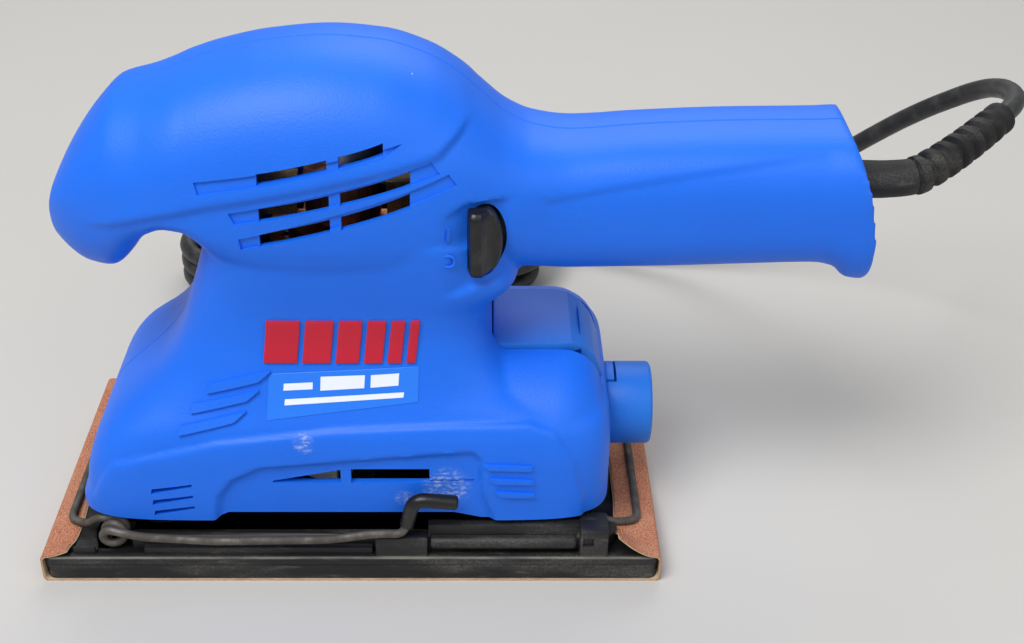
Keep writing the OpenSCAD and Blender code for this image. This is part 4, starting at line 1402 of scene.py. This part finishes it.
@dataclass
class Pad:
    """The platen, its cushion and the paper stretched round them."""

    length: float = 185.0
    width: float = 93.0
    cushion_base: float = 0.6
    cushion_top: float = 6.0
    plate_top: float = 9.0
    rail_top: float = 14.0
    ledge_top: float = 16.0
    coil_x: float = -71.0
    leg: tuple[float, float] = (58.0, 27.0)

    def rings(self, rows: Sequence[tuple[float, float]]) -> bmesh.types.BMesh:
        """Return a plate with the pad's outline from (inset, z) rows."""
        return loft([rounded_ring(self.length / 2 - i, self.width / 2 - i, 3, z) for i, z in rows])

    def cushion(self) -> None:
        """Make the foam cushion, a little waisted under its own load."""
        base, top = self.cushion_base + 0.02, self.cushion_top
        bm = self.rings(((0.7, base), (0.25, base + 0.35), (0.3, base + 1.6), (0.55, 3.4),
                         (0.3, top - 1.4), (0.1, top - 0.4), (0.35, top)))
        piece("foam_cushion", bm, Finish.CUSHION, "platen", ["pad_cushion"], 50)

    def fittings(self) -> bmesh.types.BMesh:
        """Return what stands on the plate, drawn once and repeated half a turn round."""
        bm = bmesh.new()
        low = self.plate_top - 1
        post = ((0, low), (4.6, low), (4.4, low + 1.6), (3.9, low + 2.4), (3.8, 15.6), (3.4, 16.7),
                (2.3, 17.3), (0, 17.5))
        add_turned(bm, post, Matrix.Translation((self.coil_x, -31, 0)), 28)
        add_box(bm, (7.5, -46, low), (23, -41.4, self.ledge_top), 0.6)
        add_box(bm, (-77, 36.5, low), (-68.5, 46, 18.6), 0.7)
        bead = [Vector((x, -42.9, 12.3)) for x in (23.6, 24, 24.6, 35, 45, 55, 66.6, 67.2, 67.6)]
        add_tube(bm, bead, [1.4, 1.9, 2.1, 2.1, 2.1, 2.1, 2.1, 1.9, 1.4], 20)
        add_box(bm, (23.2, -42.3, low), (68.8, -39.4, 18.2), 0.4)
        add_box(bm, (-83.4, -44.6, low), (-76.6, -38.5, 11.6), 0.5)
        add_box(bm, (-62, -44.6, low), (6.6, -41.6, 11.4), 0.5)
        add_box(bm, (-40.5, -36, low), (-37.5, 36, 13), 0.4)
        add_box(bm, (-77, -1.5, low), (0, 1.5, 13.2), 0.4)
        for y in (-self.leg[1], self.leg[1]):
            bmesh.ops.create_cone(bm, cap_ends=True, segments=40, radius1=9.6, radius2=9.2,
                                  depth=6.5, matrix=Matrix.Translation((-self.leg[0], y, 11.2)))
        half_turn = bmesh.ops.duplicate(bm, geom=[*bm.verts, *bm.edges, *bm.faces])["geom"]
        bmesh.ops.rotate(bm, cent=(0, 0, 0), matrix=Matrix.Rotation(math.pi, 3, "Z"),
                         verts=[g for g in half_turn if isinstance(g, bmesh.types.BMVert)])
        bmesh.ops.create_cone(bm, cap_ends=True, segments=48, radius1=15.4, radius2=14.6,
                              depth=11.5, matrix=Matrix.Translation((0, 0, 13.75)))
        outer = [rounded_ring(80 - i, 42.5 - i, 6, z) for i, z in
                 ((0, 8), (0, self.rail_top - 0.7), (0.7, self.rail_top))]
        inner = [rounded_ring(76 + i, 38.5 + i, 4, z) for i, z in
                 ((0.7, self.rail_top), (0, self.rail_top - 0.7), (0, 8))]
        add_hoop(bm, outer + inner)
        bmesh.ops.recalc_face_normals(bm, faces=bm.faces)
        return bm

    def pockets(self) -> bmesh.types.BMesh:
        """Return the pockets of the platen: bearing, legs, and room for the clamps' wires."""
        bm = bmesh.new()
        for radius, low, high in ((11.05, 12, 24), (8, 9, 13)):
            bmesh.ops.create_cone(bm, cap_ends=True, segments=48, radius1=radius, radius2=radius,
                                  depth=high - low, matrix=Matrix.Translation((0, 0, (low + high) / 2)))
        for x in (-self.leg[0], self.leg[0]):
            for y in (-self.leg[1], self.leg[1]):
                bmesh.ops.create_cone(bm, cap_ends=True, segments=40, radius1=7.4, radius2=7.4,
                                      depth=12, matrix=Matrix.Translation((x, y, 15)))
        for turn in (0, math.pi):
            spin = Matrix.Rotation(turn, 4, "Z")
            add_box(bm, (self.coil_x - 5.4, -48, 9.3), (self.coil_x + 5.4, -35.6, 30), 0, spin)
            add_box(bm, (self.coil_x - 16, -44, 9.3), (self.coil_x - 2, 35.9, 30), 0, spin)
            add_box(bm, (self.coil_x - 1.6, 44.9, 12.9), (self.coil_x + 1.6, 48, 16.1), 0, spin)
            add_box(bm, (self.coil_x - 1.5, 30, 13.0), (self.coil_x + 1.5, 45, 16.0), 0, spin)
        bmesh.ops.recalc_face_normals(bm, faces=bm.faces)
        return bm

    def platen(self) -> None:
        """Make the moulded platen with its lip, rails, posts and pockets; its finish paints a highlight
        along the lip.
        """
        top = self.plate_top
        bm = self.rings(((0.5, self.cushion_top), (0.05, self.cushion_top + 0.35), (0, top - 0.9),
                         (0.15, top - 0.35), (0.7, top), (2.4, top), (3.2, top - 0.35)))
        bmesh.ops.recalc_face_normals(bm, faces=bm.faces)
        whole = cut(loose_object("tray", bm), self.fittings(), how="UNION")
        whole = cut(whole, self.pockets())
        mesh = whole.data
        mesh.transform(Matrix.Scale(MM, 4))
        bpy.data.objects.remove(whole)
        dress("moulded_platen", mesh, Finish.PLATEN, "platen", ["platen"], 38)

    def paper_line(self, share: float, y: float, inside: float) -> tuple[float, float]:
        """Return where the paper runs in the side view.

        Args:
            share: From 0 at the end of the front flap to 1 at the end of the rear flap.
            y: The place across the pad.
            inside: How far inside the outer face, in millimetres.
        """
        half, r = self.length / 2 + 0.55 - inside, 1.6
        top, low = self.plate_top + 0.6 - inside, inside
        side = -1 if share < 0.5 else 1
        t = abs(share - 0.5) * 2
        run = t * 2
        if run < 1:
            return side * (half - r) * run, low
        run -= 1
        corner = math.pi / 2 * min(1, run / 0.16)
        if run < 0.16:
            return side * (half - r + r * math.sin(corner)), low + r - r * math.cos(corner)
        if run < 0.34:
            return side * half, low + r + (top - low - 2 * r) * (run - 0.16) / 0.18
        if run < 0.5:
            corner = math.pi / 2 * (run - 0.34) / 0.16
            return side * (half - r + r * math.cos(corner)), top - r + r * math.sin(corner)
        flap = (run - 0.5) / 0.5
        far = smoothstep(38, 46, y)
        wave = 0.22 * math.sin(y * 0.13) + 0.12 * math.sin(y * 0.37)
        if side < 0:
            near = smoothstep(37, 46.5, -y)
            lift, reach = 2.2 * near * flap ** 1.5 + 1.2 * far * flap ** 2, 9.2 - 0.9 * near + wave
        else:
            near = smoothstep(36.5, 45.5, -y)
            lift = (1.6 + 6.0 * near) * flap ** 1.6 + 1.2 * far * flap ** 2
            reach = 13.0 + wave
        return side * (half - r - (reach - 2) * flap), top + lift

    def paper(self) -> None:
        """Make the abrasive sheet and its backing, each a thin closed layer."""
        for name, outer, inner, finish in (
            ("grit_face", 0.0, 0.26, Finish.PAPER), ("paper_back", 0.26, 0.5, Finish.BACKING),
        ):
            bm = bmesh.new()
            made = bmesh.ops.create_grid(bm, x_segments=150, y_segments=36, size=0.5)
            faces = list(bm.faces)
            grown = bmesh.ops.extrude_face_region(bm, geom=faces, use_keep_orig=True)
            lifted = [g for g in grown["geom"] if isinstance(g, bmesh.types.BMVert)]
            for verts, inside in ((made["verts"], inner), (lifted, outer)):
                for v in verts:
                    y = v.co.y * self.width
                    x, z = self.paper_line(v.co.x + 0.5, y, inside)
                    v.co = (x, y, z)
            covers = ["abrasive_paper"] if finish is Finish.PAPER else []
            piece(name, bm, finish, "platen", covers, 60)

    def build(self) -> None:
        """Make the pad's pieces."""
        self.cushion()
        self.platen()
        self.paper()


@dataclass
class PaperClamp:
    """A wire clamp: a bail that presses on the paper, a spring coil and a long lever."""

    rear: bool = False
    wire: float = 1.25
    coil_x: float = -71.0
    coil_z: float = 14.5
    coil_y: float = -37.4
    coil_r: float = 3.0
    pitch: float = 3.1
    lever_y: float = -45.2
    bail_x: float = -87.0
    bail_z: float = 10.95
    ledge: float = 16.0
    sleeve_r: float = 2.2

    @property
    def name(self) -> str:
        """Return which end of the pad the clamp is at."""
        return "rear" if self.rear else "front"

    def coil(self, start: float, end: float, steps: int) -> list[Vector]:
        """Return the coil's centreline between two angles, moving outwards as it turns."""
        made = []
        for k in range(steps + 1):
            a = start + (end - start) * k / steps
            made.append(Vector((self.coil_x + self.coil_r * math.cos(math.radians(a)),
                                self.coil_y - self.pitch * (120 - a) / 360,
                                self.coil_z + self.coil_r * math.sin(math.radians(a)))))
        return made

    def wire_piece(self, name: str, line: list[Vector], finish: Finish, body: str, node: str,
                   radii: float | list[float]) -> None:
        """Make one bent wire or sleeve, turned half round for the rear clamp."""
        bm = bmesh.new()
        add_tube(bm, line, radii, 16)
        if self.rear:
            bmesh.ops.rotate(bm, cent=(0, 0, 0), matrix=Matrix.Rotation(math.pi, 3, "Z"),
                             verts=bm.verts)
        piece(name, bm, finish, body, [node], 60)

    def build(self) -> None:
        """Make the bail, the lever and the lever's sleeve."""
        body = f"{self.name}_bail"
        x, z, bx, bz = self.coil_x, self.coil_z, self.bail_x, self.bail_z
        arm = rounded(((x, 44.6, z), (x, 33.6, z), (bx + 6, 33.6, bz + 1), (bx, 31, bz),
                       (bx, -31, bz), (bx + 6, -34, bz + 0.6), (x - 6, -37.2, z + 2.2),
                       self.coil(120, 119, 1)[0].to_tuple()), 2.8, 6)
        line = arm[:-1] + self.coil(120, -96, 34)
        radii = [self.wire - 0.25, *[self.wire] * (len(line) - 2), self.wire]
        self.wire_piece(f"{self.name}_wire_bail", line, Finish.WIRE, body, body, radii)
        body = f"{self.name}_lever"
        y, top = self.lever_y, self.ledge + self.wire + 0.1
        coil = self.coil(-122, -630, 80)
        arm = rounded((coil[-1].to_tuple(), (-62, y, z + 1.6), (-40, y, z), (-6, y, z + 0.6),
                       (7, y, top), (16.2, y, top), (17, y, self.ledge + 7.5)), 3.2, 6)
        self.wire_piece(f"{self.name}_wire_lever", coil[:-1] + arm, Finish.WIRE, body, body,
                        self.wire)
        grip = rounded(((17.0, y, self.ledge + 4.6), (19.4, y, 30.4), (32.4, y, 29.3)), 3.6, 8)
        r = self.sleeve_r
        first, last = grip[0], grip[-1]
        ahead, back = (grip[1] - first).normalized(), (grip[-2] - last).normalized()
        line = [first, first + ahead * 0.4, *grip[1:-1], last + back * 1.0, last + back * 0.35, last]
        radii = [r - 0.45, r, *[r] * (len(grip) - 2), r, r - 0.3, r - 1.1]
        self.wire_piece(f"{self.name}_lever_grip", line, Finish.SLEEVE, body,
                        f"{self.name}_lever_sleeve", radii)


# --------------------------------------------------------------------------- small fittings


@dataclass
class Rocker:
    """The switch's rocker: a flat left side, a tall ridge and a hollow right face."""

    pivot: Point = (40.0, -24.6, 107.0)
    turn: float = 7.0
    half_height: float = 9.9

    def build(self) -> None:
        """Make the rocker."""
        section = Profile(((-4.8, 5.2), (-4.5, 6.4), (-3.0, 7.0), (-1.6, 7.0), (-0.9, 6.2),
                           (0.8, 4.9), (2.6, 4.0), (4.2, 3.7), (4.8, 3.0)))
        rings = []
        for k in range(25):
            t = math.sin(math.radians(-90 + 7.5 * k))
            end = math.sqrt(max(0.0, 1 - (t * 0.975) ** 2))
            right = 4.8 * end
            press = 1 - 0.3 * (1 - min(1.0, 1.6 * end)) ** 1.2
            ring = []
            for j in range(31):
                x = -4.8 + 9.6 * j / 30
                across = x if x < 0 else x * right / 4.8
                ring.append((across * (0.8 + 0.2 * min(1, 2 * end)),
                             -section.at(x)[0] * press, t * self.half_height))
            ring += [(ring[-1][0], 1.8, ring[-1][2]), (ring[0][0], 1.8, ring[0][2])]
            rings.append(ring)
        bm = loft(rings)
        place = Matrix.Translation(self.pivot) @ Matrix.Rotation(math.radians(self.turn), 4, "Z")
        bmesh.ops.transform(bm, matrix=place, verts=bm.verts)
        piece("switch_paddle", bm, Finish.ROCKER, "switch_rocker", ["switch_rocker"],
              32)


@dataclass
class Badges:
    """The plain red motif, the blue plate under it and the on and off signs."""

    skin: Skin

    def build(self) -> None:
        """Make the motif, the plate and the signs."""
        self.motif()
        self.plate()
        self.signs()

    def motif(self) -> None:
        """Make a row of slanted red bars, thick ones first."""
        bm = bmesh.new()
        x = -23.0
        for width, gap in ((9.6, 1.5), (8.0, 1.5), (6.6, 1.5), (5.2, 1.5), (3.9, 1.5), (2.6, 0)):
            self.skin.drape(bm, ((x, 69.6), (x + width, 69.6), (x + width + 1.6, 82.6),
                                 (x + 1.6, 82.6)), -0.5, 0.75, (max(3, round(width)), 10))
            x += width + gap
        bevelled(bm, 0.18, 2, 50)
        piece("front_motif", bm, Finish.EMBLEM, "housing", ["front_emblem"])

    def plate(self) -> None:
        """Make the blue plate and the plain printed rules on it."""
        bm = bmesh.new()
        corners = ((-22.6, 53.6), (21.0, 58.4), (21.4, 68.2), (-21.6, 66.2))
        self.skin.drape(bm, corners, -0.4, 0.22, (30, 8))
        bevelled(bm, 0.06, 1, 50)
        piece("type_plate", bm, Finish.LABEL, "housing", ["label_plate"])
        bm = bmesh.new()
        for a, b, c, d in (((-7, 61.6), (5.6, 62.3), (5.9, 65.9), (-6.8, 65.5)),
                           ((7.4, 62.4), (15.4, 63.0), (15.7, 66.4), (7.6, 65.9)),
                           ((-17.6, 61.6), (-9.2, 62.0), (-9.1, 63.9), (-17.4, 63.5)),
                           ((-17.4, 57.6), (16.8, 59.7), (17.0, 61.1), (-17.2, 59.2))):
            self.skin.drape(bm, (a, b, c, d), -0.1, 0.27, (14, 2))
        piece("type_plate_rules", bm, Finish.LABEL_INK, "housing", ())

    def signs(self) -> None:
        """Make the raised bar and ring beside the switch."""
        bm = bmesh.new()
        self.skin.drape(bm, ((29.7, 108.4), (30.7, 108.4), (30.9, 112.2), (29.9, 112.2)),
                        -0.6, 0.7, (1, 4))
        x, z = 30.2, 102.6
        place = Matrix.Translation((x, self.skin.side_y(x, z, -1) - 0.25, z))
        outline = [(1.75 + 0.35 * math.cos(a), 0.35 * math.sin(a))
                   for a in (math.pi / 4 * k for k in range(8))]
        for v in bm.verts:
            v.tag = True
        add_turned(bm, outline, place @ Matrix.Rotation(math.pi / 2, 4, "X"), 28)
        piece("switch_signs", bm, Finish.HOUSING, "housing", ())


@dataclass
class DustOutlet:
    """The duct's separate cover and the round port for a dust bag."""

    port_z: float = 33.0
    outer: float = 13.0
    bore: float = 10.5

    def build(self) -> None:
        """Make the cover and the port."""
        bm = bmesh.new()
        for x, half, z0, z1 in (
            (42.6, 15.2, 61.5, 65.5), (44, 15.7, 61.5, 65.5), (61.5, 15.7, 60, 65.5),
            (66, 14.6, 57, 65.1), (69.8, 13.2, 54, 63.2), (73, 12.2, 51.5, 59.2),
            (75.6, 11.8, 51.5, 52.5),
        ):
            for y in (-half, half):
                for z in (z0, z1):
                    bm.verts.new((x, y, z))
        hull = bmesh.ops.convex_hull(bm, input=bm.verts)
        inner = [v for v in hull["geom_interior"] if isinstance(v, bmesh.types.BMVert)]
        bmesh.ops.delete(bm, geom=inner, context="VERTS")
        bmesh.ops.dissolve_limit(bm, angle_limit=0.02, verts=bm.verts, edges=bm.edges)
        bevelled(bm, 1.0, 4, 16)
        bmesh.ops.recalc_face_normals(bm, faces=bm.faces)
        cover = loose_object("cover", bm)
        under = bmesh.new()
        add_box(under, (30, -13.0, 40), (66.5, 13.0, 63.6), 0)
        add_box(under, (30, -30, 40), (68.5, 30, 62.2), 0)
        cover = cut(cover, under)
        mesh = cover.data
        mesh.transform(Matrix.Scale(MM, 4))
        bpy.data.objects.remove(cover)
        # the duct blue here is the housing blue with painted shade
        dress("duct_cover", mesh, Finish.DUCT_SHADED, "housing", ["dust_duct_cover"])
        bm = bmesh.new()
        r, b = self.outer, self.bore
        outline = ((b, 0), (r - 0.3, 0), (r - 0.3, 5.6), (r - 0.1, 6), (r, 6.3), (r, 18.9),
                   (r - 0.25, 19.6), (r - 0.8, 20), (b + 0.6, 20), (b, 19.4))
        turn = Matrix.Translation((72, 0, self.port_z)) @ Matrix.Rotation(math.pi / 2, 4, "Y")
        add_turned(bm, outline, turn, 72)
        bmesh.ops.recalc_face_normals(bm, faces=bm.faces)
        port = loose_object("port", bm)
        notch = bmesh.new()
        add_box(notch, (80.2, -5.6, self.port_z + 9), (81.0, 9, self.port_z + 14), 0)
        add_box(notch, (77.4, -5.6, self.port_z + 9.1), (80.6, -4.8, self.port_z + 13.9), 0)
        port = cut(port, notch)
        mesh = port.data
        mesh.transform(Matrix.Scale(MM, 4))
        bpy.data.objects.remove(port)
        # the port also takes the housing blue with painted shade
        dress("bag_port", mesh, Finish.DUCT_SHADED, "housing", ["dust_port"])


# --------------------------------------------------------------------------- the whole sander


def dress_frame() -> None:
    """Give every CAD node that stays in view its own finish."""
    finishes = {
        Finish.HOUSING: ("housing_left", "housing_right", "label_plate"),
        Finish.DUCT_SHADED: ("dust_duct_cover", "dust_port"),
        Finish.EMBLEM: ("front_emblem",),
        Finish.SCREW: ("housing_screws", "cord_clamp_screws", "crank_pin_screw", "cushion_screws",
                       "brush_springs"),
        Finish.CAST: ("bearing_plate", "cooling_fan", "counterweight"),
        Finish.BEARING: ("lower_bearing", "upper_bearing", "eccentric_bearing", "motor_shaft"),
        Finish.CORE: ("stator_core", "armature_core"),
        Finish.COPPER: ("field_coils", "armature_windings", "commutator"),
        Finish.BRASS: ("brush_holders", "plug_blades"),
        Finish.CARBON: ("carbon_brushes",),
        Finish.INSIDE: ("switch_body", "cord_clamp"),
        Finish.FILM: ("noise_capacitor",),
        Finish.LEAD: ("lead_wires",),
        Finish.RUBBER: ("orbit_legs", "strain_relief", "cord_inner_end", "power_cord", "cord_hank",
                        "cord_tie", "plug_lead", "plug_body"),
        Finish.PLATEN: ("platen",),
        Finish.CUSHION: ("pad_cushion",),
        Finish.PAPER: ("abrasive_paper",),
        Finish.WIRE: ("front_bail", "front_lever", "rear_bail", "rear_lever"),
        Finish.SLEEVE: ("front_lever_sleeve", "rear_lever_sleeve"),
        Finish.ROCKER: ("switch_rocker",),
    }
    for finish, names in finishes.items():
        for name in names:
            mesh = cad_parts[name].data
            mesh.materials.clear()
            mesh.materials.append(finish.material())
            LOG.info("%s: %s", name, finish.value.name)


def main() -> None:
    """Build the studio, the cord and the sander's pieces in order."""
    logging.basicConfig(level=logging.INFO, format="%(name)s: %(message)s")
    Studio().build()
    PowerCord().build()
    housing = Housing()
    housing.build()
    DustOutlet().build()
    Pad().build()
    PaperClamp().build()
    PaperClamp(rear=True).build()
    Rocker().build()
    Badges(housing.skin).build()
    dress_frame()


if __name__ == "__main__":
    main()
